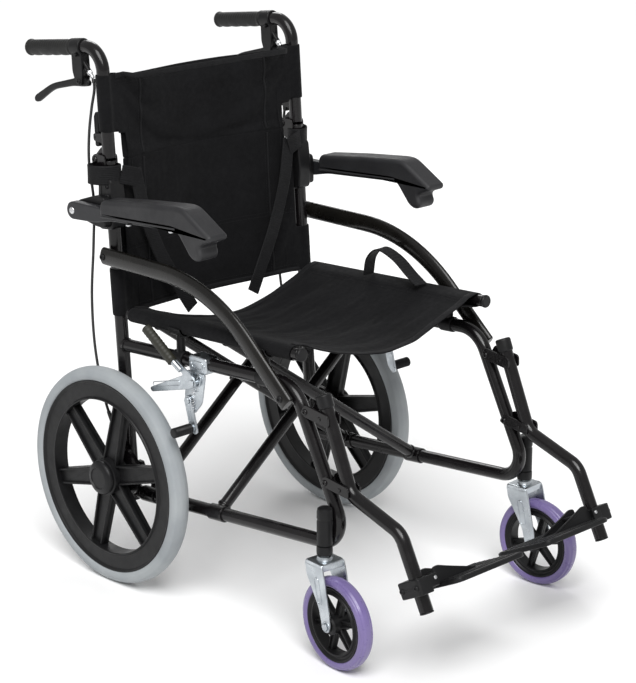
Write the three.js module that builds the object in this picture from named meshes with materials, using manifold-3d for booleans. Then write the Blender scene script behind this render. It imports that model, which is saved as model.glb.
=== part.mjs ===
// Folding transport wheelchair with a scissor frame, fold-down back, flip-up arms and footplates.
// Millimetres, +Z up, the chair faces -Y, its left side is +X. Heights are from the floor.
// Lengths along the chair are worked out from the rear axle; the last group moves the origin
// to the middle of the footprint.
import * as THREE from "three";
import { mergeVertices } from "three/addons/utils/BufferGeometryUtils.js";
import Module from "manifold-3d";

const wasm = await Module();
wasm.setup();

// ---- driving dimensions -------------------------------------------------------------------
const CENTRE_SHIFT_Y = 235.5; // from the rear axle to the middle of the footprint
const GAP = 0.4; // running and seating clearance between neighbours
const TUBE_R = 11; // 22 mm frame tube
const FRAME_X = 212; // side frame plane
const LEG_X = 208; // leg rest plane
const REAR_R = 188; // 15 inch rear wheel
const REAR_X = 261; // rear tyre mid plane
const CASTER_R = 75; // 6 inch caster
const CASTER_X = 235.8; // caster stem
const CASTER_Y = -485.7;
const CASTER_TRAIL = -31; // the wheel sits ahead of the stem in this pose
const CASTER_YAW = 5; // degrees, casters toe slightly out
const WHEEL_SIDES = 32; // a flat of this polygon rests on the floor
const REAR_Z = REAR_R * Math.cos(Math.PI / WHEEL_SIDES);
const CASTER_Z = CASTER_R * Math.cos(Math.PI / WHEEL_SIDES);
const POST_LEAN = 0.0706; // back post, mm back per mm up
const RAIL_SLOPE = Math.atan(0.085); // lower rail rises to the front
const RAIL_REAR = { y: 5, z: 147 }; // rear end of the lower rail
const SEAT_RISE = 0.05;
const SEAT_RAIL_R = 10;
const SLEEVE_R = 11.7; // upholstery sleeve round a seat rail
const BACK_PIVOT = { y: 61, z: 712 };
const BACK_SPLIT_Z = 711; // height of the crease in the back cloth
const ARM_PIVOT = { y: 87, z: 627 };
const ARM_X = 248; // arm rest mid plane
const PAD_INNER_X = 226.8;
const PAD_OUTER_X = 269;
const LEG_KNEE = { y: -620, z: 243.5 };
const LEG_END = { y: -674.8, z: 133.9 };
const FOOT = { y: -656.2, z: 168.5, tilt: Math.atan2(62, 124) }; // square to the leg tube
const FOOT_PIN = { x: -18, z: 6 }; // the plate's hinge, drawn about the leg tube
const LEVER_PIVOT = { y: 103, z: 835 };
const LATCH_PIVOT = { y: 63.5, z: 748 };
const PARK_Y = -185; // parking brake station along the upper rail
const PARK_PIVOT = { y: PARK_Y, z: 386 };
const SHOE_PIVOT = { y: -168, z: 352 };
const CANE_FOOT = 716; // height of the lower end of a folding cane
const COLLAR_R = 13.6; // sleeve that turns on a lower rail
const BRACE_R = 10;
const CROSS_A = [-52, -222]; // stations of the scissor tubes along the lower rail
const CROSS_B = [-96, -262];
const SEAT_SAG = 50;
const BACK_BELLY = 22;
const CLOTH = 4; // thickness of the padded upholstery
const WEBBING = { width: 26, thickness: 2.4 };

const postY = (z) => 2 + POST_LEAN * (z - 175);
const upperRailZ = (y) => 403.2 - 0.0602 * y;
const seatRailZ = (y) => 458 - SEAT_RISE * y;
const armBarZ = (y) => ARM_PIVOT.z + (ARM_PIVOT.y - y) * 0.075;

// ---- finishes -----------------------------------------------------------------------------
const finish = (color, roughness, metalness) =>
  new THREE.MeshStandardMaterial({ color, roughness, metalness });
const BLACK_PAINT = finish(0x1b191b, 0.3, 0.3);
const BLACK_PLASTIC = finish(0x1d1c1d, 0.5, 0);
const GREY_PAD = finish(0x3d3d41, 0.6, 0);
const GREY_TYRE = finish(0x8f9396, 0.7, 0);
const VIOLET_TYRE = finish(0x6f5a99, 0.5, 0);
const ZINC = finish(0xb9c4c6, 0.35, 0.9);
const FABRIC = finish(0x111114, 0.9, 0);
const CABLE = finish(0x151515, 0.5, 0);

// ---- geometry helpers ---------------------------------------------------------------------
const point = (x, y, z) => new THREE.Vector3(x, y, z);

class StationCurve extends THREE.Curve {
  constructor(stations) {
    super();
    this.stations = stations;
  }

  getPoint(t, target = new THREE.Vector3()) {
    const last = this.stations.length - 1;
    const i = Math.min(Math.floor(t * last + 1e-9), last - 1);
    return target.lerpVectors(this.stations[i], this.stations[i + 1], t * last - i);
  }

  getPointAt(u, target) {
    return this.getPoint(u, target);
  }

  getTangentAt(u, target = new THREE.Vector3()) {
    const last = this.stations.length - 1;
    const i = Math.round(u * last);
    const here = this.stations[i];
    target.set(0, 0, 0);
    if (i > 0) target.add(here.clone().sub(this.stations[i - 1]).normalize());
    if (i < last) target.add(this.stations[i + 1].clone().sub(here).normalize());
    return target.normalize();
  }
}

// A path through corner points, each corner rounded to one bend radius.
function bentPath(corners, bendRadius, stepDegrees = 20) {
  const stations = [corners[0]];
  for (let i = 1; i < corners.length - 1; i += 1) {
    const into = corners[i].clone().sub(corners[i - 1]).normalize();
    const out = corners[i + 1].clone().sub(corners[i]).normalize();
    const turn = into.angleTo(out);
    const axis = into.clone().cross(out).normalize();
    const start = corners[i].clone().addScaledVector(into, -bendRadius * Math.tan(turn / 2));
    const centre = start.clone().addScaledVector(axis.clone().cross(into), bendRadius);
    const steps = Math.max(2, Math.ceil(THREE.MathUtils.radToDeg(turn) / stepDegrees));
    for (let k = 0; k <= steps; k += 1) {
      const arm = start.clone().sub(centre).applyAxisAngle(axis, (turn * k) / steps);
      stations.push(centre.clone().add(arm));
    }
  }
  stations.push(corners[corners.length - 1]);
  return stations;
}

function ovalShape(halfWidth, halfHeight, sides) {
  const ring = [];
  for (let i = 0; i < sides; i += 1) {
    const a = (2 * Math.PI * (i + 0.5)) / sides;
    ring.push(new THREE.Vector2(halfWidth * Math.cos(a), halfHeight * Math.sin(a)));
  }
  return new THREE.Shape(ring);
}

function boxShape(width, height) {
  const [x, y] = [width / 2, height / 2];
  return new THREE.Shape([[-x, -y], [x, -y], [x, y], [-x, y]].map(([u, v]) =>
    new THREE.Vector2(u, v)));
}

function sweep(stations, shape) {
  return new THREE.ExtrudeGeometry(shape, {
    steps: stations.length - 1,
    extrudePath: new StationCurve(stations),
  });
}

const tube = (stations, radius = TUBE_R, sides = 10) =>
  sweep(stations, ovalShape(radius, radius, sides));

const rod = (from, to, radius, sides = 10) => tube([from, to], radius, sides);

// A plate of constant thickness: its outline is given as [y, z], it runs from x0 to x1.
function sidePlate(outline, x0, x1) {
  const shape = new THREE.Shape(outline.map(([y, z]) => new THREE.Vector2(y, z)));
  const plate = new THREE.ExtrudeGeometry(shape, { depth: x1 - x0, bevelEnabled: false });
  const turn = new THREE.Matrix4().makeBasis(point(0, 1, 0), point(0, 0, 1), point(1, 0, 0));
  plate.applyMatrix4(turn);
  return plate.translate(x0, 0, 0);
}

function block(centre, size) {
  return new THREE.BoxGeometry(size.x, size.y, size.z).translate(centre.x, centre.y, centre.z);
}

function bareMesh(geometry) {
  const bare = new THREE.BufferGeometry();
  bare.setAttribute("position", geometry.getAttribute("position").clone());
  if (geometry.index) bare.setIndex(geometry.index.clone());
  return mergeVertices(bare, 1e-4);
}

function faceOut(geometry) {
  const merged = bareMesh(geometry);
  const at = merged.getAttribute("position");
  const order = Array.from(merged.index.array);
  const [a, b, c] = [point(), point(), point()];
  let volume = 0;
  for (let i = 0; i < order.length; i += 3) {
    a.fromBufferAttribute(at, order[i]);
    b.fromBufferAttribute(at, order[i + 1]);
    c.fromBufferAttribute(at, order[i + 2]);
    volume += a.dot(b.cross(c));
  }
  if (volume < 0) order.reverse();
  merged.setIndex(order);
  return merged;
}

// A body of revolution about the X axis; the profile is given as [radius, x].
function turned(profile, sides) {
  const points = profile.map(([r, x]) => new THREE.Vector2(r, x));
  const lathe = new THREE.LatheGeometry(points, sides);
  lathe.rotateY(Math.PI / sides);
  const lay = new THREE.Matrix4().makeBasis(point(0, 0, 1), point(1, 0, 0), point(0, 1, 0));
  return faceOut(lathe.applyMatrix4(lay));
}

// The same about the Z axis, with the profile as [radius, z].
function turnedUpright(profile, sides) {
  const points = profile.map(([r, z]) => new THREE.Vector2(r, z));
  return faceOut(new THREE.LatheGeometry(points, sides).rotateX(Math.PI / 2));
}

function solid(geometry) {
  const merged = faceOut(geometry);
  return new wasm.Manifold(
    new wasm.Mesh({
      numProp: 3,
      vertProperties: new Float32Array(merged.getAttribute("position").array),
      triVerts: new Uint32Array(merged.index.array),
    }),
  );
}

function fromSolid(body) {
  const mesh = body.getMesh();
  const geometry = new THREE.BufferGeometry();
  geometry.setAttribute("position", new THREE.BufferAttribute(mesh.vertProperties, 3));
  geometry.setIndex(Array.from(mesh.triVerts));
  return geometry;
}

const join = (...shapes) => fromSolid(shapes.map(solid).reduce((whole, piece) => whole.add(piece)));

const cut = (base, ...tools) =>
  fromSolid(tools.map(solid).reduce((rest, tool) => rest.subtract(tool), solid(base)));

const mirrored = (geometry) => faceOut(geometry.clone().scale(-1, 1, 1));

function mesh(name, geometry, material) {
  const part = new THREE.Mesh(geometry, material);
  part.name = name;
  return part;
}

function ringProfile(inner, outer, halfWidth) {
  return [[inner, -halfWidth], [outer, -halfWidth], [outer, halfWidth], [inner, halfWidth],
    [inner, -halfWidth]];
}

// ---- side frame ---------------------------------------------------------------------------
const frontTubeY = (z) => -422 - (377 - z) * 0.504;
const UPPER_CORNER = point(FRAME_X, -396, upperRailZ(-396));
const LOWER_CORNER = point(FRAME_X, -516, 191.5);

function postBetween(low, high, radius, sides = 10) {
  return rod(point(FRAME_X, postY(low), low), point(FRAME_X, postY(high), high), radius, sides);
}

function frontTube(radius) {
  return rod(
    point(FRAME_X, frontTubeY(405), 405), point(FRAME_X, frontTubeY(245), 245), radius,
  );
}

function sideFrame() {
  const upper = bentPath([point(FRAME_X, 14, upperRailZ(14)), UPPER_CORNER,
    point(FRAME_X, frontTubeY(320), 320)], 55);
  const lower = bentPath([point(FRAME_X, frontTubeY(320), 320), LOWER_CORNER,
    point(FRAME_X, 2, RAIL_REAR.z + 0.3)], 40);
  const loop = [...upper.slice(0, -1), ...lower.slice(1)];
  const saddles = [-130, -330].map((y) =>
    rod(point(FRAME_X, y, upperRailZ(y)), point(FRAME_X, y, seatRailZ(y) - SLEEVE_R - GAP), 7, 8));
  const axleBoss = rod(point(FRAME_X, 0, REAR_Z), point(FRAME_X + 15, 0, REAR_Z), 14);
  return join(tube(loop), postBetween(134, 712, TUBE_R), axleBoss, ...saddles);
}

function sideArch() {
  const path = bentPath([point(0, 38, 555), point(0, -225, 555.5), point(0, -401, 400)], 300, 7);
  return sweep(path, ovalShape(8, 15, 12)).translate(FRAME_X + TUBE_R + 9.2, 0, 0);
}

// The leg tube's axis, run on by `extra` past its lower end.
function legRoute(extra = 0) {
  const knee = point(LEG_X, LEG_KNEE.y, LEG_KNEE.z);
  const end = point(LEG_X, LEG_END.y, LEG_END.z);
  end.addScaledVector(end.clone().sub(knee).normalize(), extra);
  return bentPath([point(LEG_X, -457, 416), point(LEG_X, -515, 278), knee, end], 34, 26);
}

function legTube() {
  const route = legRoute();
  const axis = route[1].clone().sub(route[0]).normalize();
  const capTop = route[0].clone().addScaledVector(axis, -9);
  const bracket = (z, height) => {
    const y = -457 - (416 - z) * 0.42;
    return sidePlate([[y, z - height], [y + 44, z - height + 8], [y + 44, z + height + 8],
      [y, z + height]], LEG_X - 9, LEG_X + 9);
  };
  const whole = join(tube(route), rod(capTop, route[0].clone().addScaledVector(axis, 14), 12.6),
    bracket(388, 10), bracket(284, 9));
  return cut(whole, frontTube(TUBE_R + GAP));
}

// ---- casters ------------------------------------------------------------------------------
function casterHousing() {
  return turnedUpright([[0, 195], [7.6, 195], [7.6, 179], [12.3, 179], [12.3, 236], [11.6, 237],
    [11.6, 239], [12.4, 240], [12.4, 253], [10, 257], [0, 257]], 10)
    .translate(CASTER_X, CASTER_Y, 0);
}

function casterFork() {
  const leg = (x0) => sidePlate([[-20, 172], [20, 172], [17, 150], [-14, 100], [-22, 70],
    [-29, 64], [-37, 66], [-41, 76], [-38, 96], [-27, 148]], x0, x0 + 3);
  const bridge = block(point(0, 0, 170), { x: 47, y: 40, z: 4 });
  const stem = turnedUpright([[0, 168], [11, 168], [11, 177], [7, 177], [7, 193], [0, 193]], 10);
  const axle = rod(point(-26.5, CASTER_TRAIL, CASTER_Z), point(26.5, CASTER_TRAIL, CASTER_Z), 4, 8);
  const heads = [-1, 1].map((side) => rod(point(side * 22, CASTER_TRAIL, CASTER_Z),
    point(side * 27, CASTER_TRAIL, CASTER_Z), 7, 6));
  return join(leg(-23.5), leg(20.5), bridge, stem, axle, ...heads);
}

function spokedWheel({ bandInner, bandOuter, bandHalf, hubR, hubHalf, bore, spoke, sides }) {
  const band = turned(ringProfile(bandInner, bandOuter, bandHalf), sides);
  const hub = turned([[0, -hubHalf], [hubR, -hubHalf], [hubR, hubHalf], [0, hubHalf]], 12);
  const reach = (bandInner + bandOuter) / 2;
  const spokes = [0, 1, 2, 3, 4, 5].map((i) =>
    block(point(0, 0, reach / 2), { x: spoke.depth, y: spoke.width, z: reach })
      .rotateX((i * Math.PI) / 3 + 0.26));
  const hole = rod(point(-hubHalf - 2, 0, 0), point(hubHalf + 2, 0, 0), bore, 8);
  return cut(join(band, hub, ...spokes), hole);
}

const casterRim = () => spokedWheel({ bandInner: 48, bandOuter: 60.6, bandHalf: 11, hubR: 15,
  hubHalf: 19, bore: 4.5, spoke: { width: 9, depth: 9 }, sides: 20 });

const casterTyre = () => turned([[61, -10.5], [70, -12.8], [CASTER_R, -6], [CASTER_R, 6],
  [70, 12.8], [61, 10.5], [61, -10.5]], WHEEL_SIDES);

// ---- rear wheels --------------------------------------------------------------------------
const rearRim = () => spokedWheel({ bandInner: 133, bandOuter: 165.6, bandHalf: 14, hubR: 31,
  hubHalf: 18, bore: 6.5, spoke: { width: 28, depth: 15 }, sides: WHEEL_SIDES });

const rearTyre = () => turned([[166, -13], [171, -16.8], [182, -14], [REAR_R, -5], [REAR_R, 5],
  [182, 14], [171, 16.8], [166, 13], [166, -13]], WHEEL_SIDES);

const hubCap = () => turned([[0, 18.5], [29, 18.5], [29, 23], [23, 28], [0, 28]], 16);

function drumBrake() {
  const drum = turned([[0, -34], [43, -34], [43, -24], [36, -20], [0, -19]], 16);
  const axle = rod(point(-30, 0, 0), point(17.8, 0, 0), 6, 8);
  const arm = sidePlate([[-2, 30], [14, 28], [26, 60], [24, 68], [14, 70]], -32, -27);
  return join(drum, axle, arm);
}

// ---- arms ---------------------------------------------------------------------------------
function armBracket() {
  const shell = sidePlate([[16, 640], [19, 600], [54, 596], [56, 640], [54, 684], [22, 684]],
    FRAME_X - 14, FRAME_X + 14.2);
  const lug = sidePlate([[22, 604], [48, 604], [90, 612], [101, 620], [101, 634], [90, 642],
    [48, 656], [24, 656]], FRAME_X + 12, ARM_X - 8.6);
  const pin = rod(point(ARM_X - 12, ARM_PIVOT.y, ARM_PIVOT.z),
    point(ARM_X + 10, ARM_PIVOT.y, ARM_PIVOT.z), 4, 8);
  return join(cut(join(shell, lug), postBetween(590, 690, TUBE_R + GAP)), pin);
}

function armBarOutline(grow) {
  const half = 15 + grow;
  const rear = [0, 1, 2, 3, 4].map((i) => {
    const a = -Math.PI / 2 + (i * Math.PI) / 4;
    return [ARM_PIVOT.y + half * Math.cos(a), ARM_PIVOT.z + half * Math.sin(a)];
  });
  const front = -172 - grow;
  const thin = 9 + grow;
  const at = (y, offset) => [y, armBarZ(y) + offset];
  return [at(front, -thin), at(-10, -thin), at(30, -half), ...rear, at(30, half - 3),
    at(-10, thin), at(front, thin)];
}

function armBar() {
  const bar = sidePlate(armBarOutline(0), ARM_X - 8, ARM_X + 8);
  const bore = rod(point(ARM_X - 12, ARM_PIVOT.y, ARM_PIVOT.z),
    point(ARM_X + 12, ARM_PIVOT.y, ARM_PIVOT.z), 4 + GAP, 8);
  return cut(bar, bore);
}

function armPad() {
  const profile = [[2, 631], [2, 652], [-4, 660], [-100, 672], [-188, 681], [-204, 680], [-219, 672],
    [-265, 646], [-265, 638], [-246, 631], [-240, 625], [-245, 613], [-241, 604], [-230, 601],
    [-218, 606], [-186, 643]];
  const body = sidePlate(profile, PAD_INNER_X, PAD_OUTER_X);
  return cut(body, sidePlate(armBarOutline(GAP), ARM_X - 8 - GAP, ARM_X + 8 + GAP));
}

// ---- folding back -------------------------------------------------------------------------
function backCane() {
  const route = bentPath([point(FRAME_X, postY(CANE_FOOT), CANE_FOOT), point(FRAME_X, 53, 897.5),
    point(FRAME_X, 226, 876)], 38);
  const lug = sidePlate([[38, 718], [38, 734], [51, 734], [66, 719], [69.5, 711], [66, 705],
    [60, 703.2], [54.5, 706.5], [52.3, 712], [52, 718]], FRAME_X - 8, FRAME_X + 8);
  const pin = rod(point(FRAME_X - 14.2, BACK_PIVOT.y, BACK_PIVOT.z),
    point(FRAME_X + 14.2, BACK_PIVOT.y, BACK_PIVOT.z), 4, 10);
  const ears = [-1, 1].map((side) => {
    const x = FRAME_X + side * 8.2;
    return sidePlate([[46, 741], [68, 742], [69, 754], [46, 757]], x - 1.3, x + 1.3);
  });
  return join(tube(route), lug, pin, ...ears);
}

function foldHinge() {
  const cheek = (side) => {
    const x = FRAME_X + side * 12.8;
    return sidePlate([[34, 686], [52, 686], [66, 700], [70, 714], [62, 722], [36, 722]],
      x - 1.2, x + 1.2);
  };
  const collar = postBetween(686, 699, 14, 12);
  const bored = cut(join(collar, cheek(-1), cheek(1)), postBetween(680, 725, TUBE_R + GAP),
    rod(point(FRAME_X - 20, BACK_PIVOT.y, BACK_PIVOT.z),
      point(FRAME_X + 20, BACK_PIVOT.y, BACK_PIVOT.z), 4 + GAP, 10));
  return bored;
}

function foldLatch() {
  const y = LATCH_PIVOT.y;
  return sidePlate([[y - 6, 743], [y - 3, 732], [y + 5, 732], [y + 6, 748], [y + 8, 782],
    [y + 3, 790], [y - 3, 788], [y - 4, 760]], FRAME_X - 6, FRAME_X + 6);
}

const gripY = (y) => 897.5 - (y - 53) * 0.1243; // height of the push handle's axis

function handGrip() {
  const along = (y) => point(FRAME_X, y, gripY(y));
  const body = join(rod(along(126), along(240), 13.2), rod(along(122.5), along(129), 14.2),
    rod(along(233), along(242.5), 14.1));
  return cut(body, rod(along(110), along(227), TUBE_R + GAP));
}

function leverBracket() {
  const along = (y) => point(FRAME_X, y, gripY(y));
  const cheek = (side) => {
    const x = FRAME_X + side * 7;
    return sidePlate([[96, 884], [93, 850], [97, 828], [110, 828], [119, 850], [121, 884]],
      x - 2, x + 2);
  };
  const ferrule = rod(point(FRAME_X, 101, 868), point(FRAME_X, 76, 843), 4, 8);
  const whole = join(rod(along(97), along(121.8), 14.4), cheek(-1), cheek(1), ferrule,
    block(point(FRAME_X, 99, 868), { x: 12, y: 6, z: 26 }));
  return cut(whole, rod(along(90), along(130), TUBE_R + GAP));
}

function brakeLever() {
  const { y, z } = LEVER_PIVOT;
  return sidePlate([[y - 19, z - 6], [y - 4, z - 9], [y + 22, z - 11], [y + 76, z - 24],
    [y + 118, z - 51], [y + 126, z - 51], [y + 128, z - 44], [y + 124, z - 39], [y + 80, z - 14],
    [y + 24, z + 1], [y + 6, z + 7], [y - 5, z + 7], [y - 19, z + 2]], FRAME_X - 4.5, FRAME_X + 4.5);
}

function brakeCable() {
  const curve = new THREE.CatmullRomCurve3([
    point(FRAME_X, 74.8, 841.8), point(FRAME_X + 3, 70, 826), point(FRAME_X + 9, 71, 796),
    point(FRAME_X + 10.5, 78, 750), point(FRAME_X + 9, 82, 700), point(FRAME_X + 5, 78, 640),
    point(FRAME_X + 2, 86, 560), point(FRAME_X + 4, 92, 470), point(FRAME_X + 8, 82, 380),
    point(FRAME_X + 16, 50, 300), point(FRAME_X + 19.5, 26, 262),
  ]);
  return tube(curve.getPoints(22), 2.4, 6);
}

// ---- foot plates --------------------------------------------------------------------------
// Both are drawn about the leg tube, with local +Z square to the plate.
function footTilted(geometry) {
  return geometry.rotateX(-FOOT.tilt).translate(LEG_X, FOOT.y, FOOT.z);
}

function roundedRect(x0, x1, y0, y1, radius) {
  const shape = new THREE.Shape();
  shape.moveTo(x0 + radius, y0);
  shape.lineTo(x1 - radius, y0);
  shape.absarc(x1 - radius, y0 + radius, radius, -Math.PI / 2, 0);
  shape.lineTo(x1, y1 - radius);
  shape.absarc(x1 - radius, y1 - radius, radius, 0, Math.PI / 2);
  shape.lineTo(x0 + radius, y1);
  shape.absarc(x0 + radius, y1 - radius, radius, Math.PI / 2, Math.PI);
  shape.lineTo(x0, y0 + radius);
  shape.absarc(x0 + radius, y0 + radius, radius, Math.PI, 1.5 * Math.PI);
  return shape;
}

function footplate() {
  const outline = roundedRect(-182, -29, -60, 60, 16);
  const board = new THREE.ExtrudeGeometry(outline,
    { depth: 8, bevelEnabled: false, curveSegments: 3 });
  board.translate(0, 0, -12);
  const knuckle = rod(point(FOOT_PIN.x, -16, FOOT_PIN.z), point(FOOT_PIN.x, 16, FOOT_PIN.z), 6, 8);
  const rib = (y) => {
    const shape = new THREE.Shape([[-120, -6], [-60, 14], [-36, 22], [-26, 20], [-26, 12],
      [-18, 11], [-18, 1], [-30, -6]].map(([x, z]) => new THREE.Vector2(x, z)));
    const plate = new THREE.ExtrudeGeometry(shape, { depth: 5, bevelEnabled: false });
    return plate.rotateX(Math.PI / 2).translate(0, y + 2.5, 0);
  };
  return footTilted(join(board, knuckle, rib(-14), rib(14)));
}

function footClamp() {
  const ears = [-1, 1].map((side) => block(point(-14, side * 20.5, 3), { x: 20, y: 7, z: 20 }));
  const body = block(point(4, 0, 0), { x: 30, y: 48, z: 26 });
  return cut(footTilted(join(body, ...ears)), tube(legRoute(20), TUBE_R + GAP));
}

// ---- parking brakes -----------------------------------------------------------------------
function parkingClamp() {
  const zRail = upperRailZ(PARK_Y);
  const collar = block(point(FRAME_X, PARK_Y, zRail), { x: 28, y: 42, z: 28 });
  const plate = sidePlate([[-206, zRail - 12], [-160, zRail - 12], [-156, 352], [-164, 333],
    [-178, 330], [-197, 352]], FRAME_X + 13, FRAME_X + 17);
  const rail = rod(point(FRAME_X, -240, upperRailZ(-240)), point(FRAME_X, -130, upperRailZ(-130)),
    TUBE_R + GAP);
  const pins = [PARK_PIVOT, SHOE_PIVOT].map(({ y, z }, i) =>
    rod(point(FRAME_X + 14, y, z), point(FRAME_X + (i ? 22.5 : 28), y, z), 3.5, 10));
  return join(cut(join(collar, plate), rail), ...pins);
}

function parkingHandle() {
  const { y, z } = PARK_PIVOT;
  const inner = FRAME_X + 23.2;
  const crank = sidePlate([[y - 9, z - 2], [y + 2, z - 10], [y + 100, z - 37], [y + 104, z - 30],
    [y + 17, z + 1], [y + 22, z + 10], [y + 52, z + 26], [y + 46, z + 36], [y - 4, z + 10]], inner,
    inner + 3.5);
  const grip = rod(point(inner + 7.5, y + 40, z + 28), point(inner + 7.5, y + 106, z + 72), 8.5, 8);
  const bore = rod(point(inner - 5, y, z), point(inner + 9, y, z), 3.5 + GAP, 10);
  return cut(join(crank, grip), bore);
}

function parkingShoe() {
  const { y, z } = SHOE_PIVOT;
  const inner = FRAME_X + 17.5;
  const arm = sidePlate([[y - 8, z + 3], [y - 2, z + 9], [y + 6, z + 7], [y + 7, z - 4],
    [y - 4, z - 44], [y - 16, z - 55], [y - 22, z - 50]], inner, inner + 4.5);
  const peg = rod(point(inner + 2, y - 10, z - 44), point(inner + 43, y - 10, z - 44), 8.5, 10);
  const bore = rod(point(inner - 5, y, z), point(inner + 9, y, z), 3.5 + GAP, 10);
  return cut(join(arm, peg), bore);
}

// ---- scissor braces, drawn square to the lower rails --------------------------------------
function toFoldFrame(y, z) {
  const dy = y - RAIL_REAR.y;
  const dz = z - RAIL_REAR.z;
  const [c, s] = [Math.cos(RAIL_SLOPE), Math.sin(RAIL_SLOPE)];
  return { y: dy * c - dz * s, z: dy * s + dz * c };
}

function seatRailHeight(station) {
  const rear = toFoldFrame(-4, seatRailZ(-4));
  const front = toFoldFrame(-408, seatRailZ(-408));
  return rear.z + ((front.z - rear.z) * (station - rear.y)) / (front.y - rear.y);
}

// lowSide is the side whose lower rail carries the sleeves, -1 right or +1 left.
function brace(lowSide, stations, partners, grow = 0) {
  const seatX = -lowSide * FRAME_X;
  const rear = toFoldFrame(-4, seatRailZ(-4));
  const front = toFoldFrame(-408, seatRailZ(-408));
  const pieces = [
    rod(point(seatX, rear.y, rear.z), point(seatX, front.y, front.z), SEAT_RAIL_R + grow),
  ];
  stations.forEach((y, i) => {
    const low = point(lowSide * FRAME_X, y, 0);
    const high = point(seatX, y, seatRailHeight(y));
    pieces.push(rod(low, high, BRACE_R + grow, 8));
    pieces.push(rod(point(low.x, y - 17, 0), point(low.x, y + 17, 0), COLLAR_R + grow));
    if (partners) {
      const middle = low.clone().lerp(high, 0.5);
      pieces.push(rod(middle, middle.clone().setY(partners[i] + BRACE_R + 2 * GAP), 7, 8));
    }
  });
  const railBore = rod(point(lowSide * FRAME_X, -420, 0), point(lowSide * FRAME_X, 20, 0),
    (TUBE_R + GAP) / Math.cos(Math.PI / 10));
  const whole = grow ? join(...pieces) : cut(join(...pieces), railBore);
  return whole.rotateX(-RAIL_SLOPE).translate(0, RAIL_REAR.y, RAIL_REAR.z);
}

// ---- upholstery ---------------------------------------------------------------------------
function seatSling() {
  const half = FRAME_X;
  const top = [];
  const bottom = [];
  for (let i = 0; i <= 8; i += 1) {
    const x = half * (-1 + i / 4);
    const drop = SEAT_SAG * Math.max(0, Math.cos((Math.PI * x) / (2 * half))) ** 1.4;
    top.push(new THREE.Vector2(x, SLEEVE_R - 0.3 - drop));
    bottom.unshift(new THREE.Vector2(x, SLEEVE_R - CLOTH - drop));
  }
  const panel = new THREE.ExtrudeGeometry(new THREE.Shape([...top, ...bottom].reverse()),
    { depth: 388, bevelEnabled: false });
  panel.rotateX(Math.PI / 2);
  const sleeves = [-half, half].map((x) => rod(point(x, -388, 0), point(x, 0, 0), SLEEVE_R, 10));
  const whole = join(panel, ...sleeves).rotateX(-Math.atan(SEAT_RISE))
    .translate(0, -9, seatRailZ(-9));
  return cut(whole, brace(-1, CROSS_A, null, GAP), brace(1, CROSS_B, null, GAP));
}

// Back cloth between two heights: a panel that bellies back, with a sleeve round each post.
function backPanel(low, high, [sleeveLow, sleeveHigh]) {
  const inset = 14.6;
  const front = [];
  const rear = [];
  for (let i = 0; i <= 6; i += 1) {
    const x = (FRAME_X - inset) * (-1 + i / 3);
    const belly = BACK_BELLY * Math.cos((Math.PI * x) / (2 * FRAME_X)) ** 2;
    front.push(new THREE.Vector2(x, belly - 2 * CLOTH));
    rear.unshift(new THREE.Vector2(x, belly - CLOTH));
  }
  const shear = new THREE.Matrix4().set(1, 0, 0, 0, 0, 1, POST_LEAN, postY(low), 0, 0, 1, low,
    0, 0, 0, 1);
  const panel = new THREE.ExtrudeGeometry(new THREE.Shape([...front, ...rear]),
    { depth: high - low, bevelEnabled: false });
  panel.applyMatrix4(shear);
  const sleeves = [1, -1].map((side) => {
    const sleeve = cut(postBetween(sleeveLow, sleeveHigh, 13.6),
      postBetween(sleeveLow - 9, sleeveHigh + 9, TUBE_R + GAP));
    return side > 0 ? sleeve : mirrored(sleeve);
  });
  const tabs = [1, -1].map((side) => {
    const tab = block(point(side * (FRAME_X - 14.6), 0, (sleeveHigh + sleeveLow) / 2 - low),
      { x: 5, y: 4, z: sleeveHigh - sleeveLow });
    return tab.translate(0, -6, 0).applyMatrix4(shear);
  });
  return join(panel, ...sleeves, ...tabs);
}

// ---- lap belt ------------------------------------------------------------------------------
function beltStrap() {
  const route = new THREE.CatmullRomCurve3([point(175, 20, 694), point(160, 16, 622),
    point(131, 12, 545), point(88, 6, 474)]);
  return sweep(route.getPoints(9), boxShape(WEBBING.thickness, WEBBING.width));
}

function beltLoop() {
  const route = new THREE.CatmullRomCurve3([point(194, -158, 480), point(194, -165, 512),
    point(193, -188, 531), point(192, -227, 522), point(189, -265, 500), point(186, -290, 488)]);
  return sweep(route.getPoints(14), boxShape(WEBBING.width, WEBBING.thickness));
}

// ---- assembly -----------------------------------------------------------------------------
const group = new THREE.Group();
group.position.set(0, CENTRE_SHIFT_Y, 0);

const frameShapes = [
  ["frame", sideFrame(), BLACK_PAINT],
  ["side_arch", sideArch(), BLACK_PAINT],
  ["leg_tube", legTube(), BLACK_PAINT],
  ["caster_housing", casterHousing(), BLACK_PLASTIC],
  ["arm_bracket", armBracket(), BLACK_PLASTIC],
  ["arm_bar", armBar(), GREY_PAD],
  ["arm_pad", armPad(), GREY_PAD],
  ["back_cane", backCane(), BLACK_PAINT],
  ["fold_hinge", foldHinge(), BLACK_PAINT],
  ["fold_latch", foldLatch(), BLACK_PLASTIC],
  ["handgrip", handGrip(), BLACK_PLASTIC],
  ["lever_bracket", leverBracket(), BLACK_PLASTIC],
  ["brake_lever", brakeLever(), BLACK_PLASTIC],
  ["brake_cable", brakeCable(), CABLE],
  ["footplate", footplate(), BLACK_PLASTIC],
  ["footplate_clamp", footClamp(), BLACK_PLASTIC],
  ["parking_clamp", parkingClamp(), ZINC],
  ["parking_handle", parkingHandle(), ZINC],
  ["parking_shoe", parkingShoe(), ZINC],
  ["belt_strap", beltStrap(), FABRIC],
];
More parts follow.
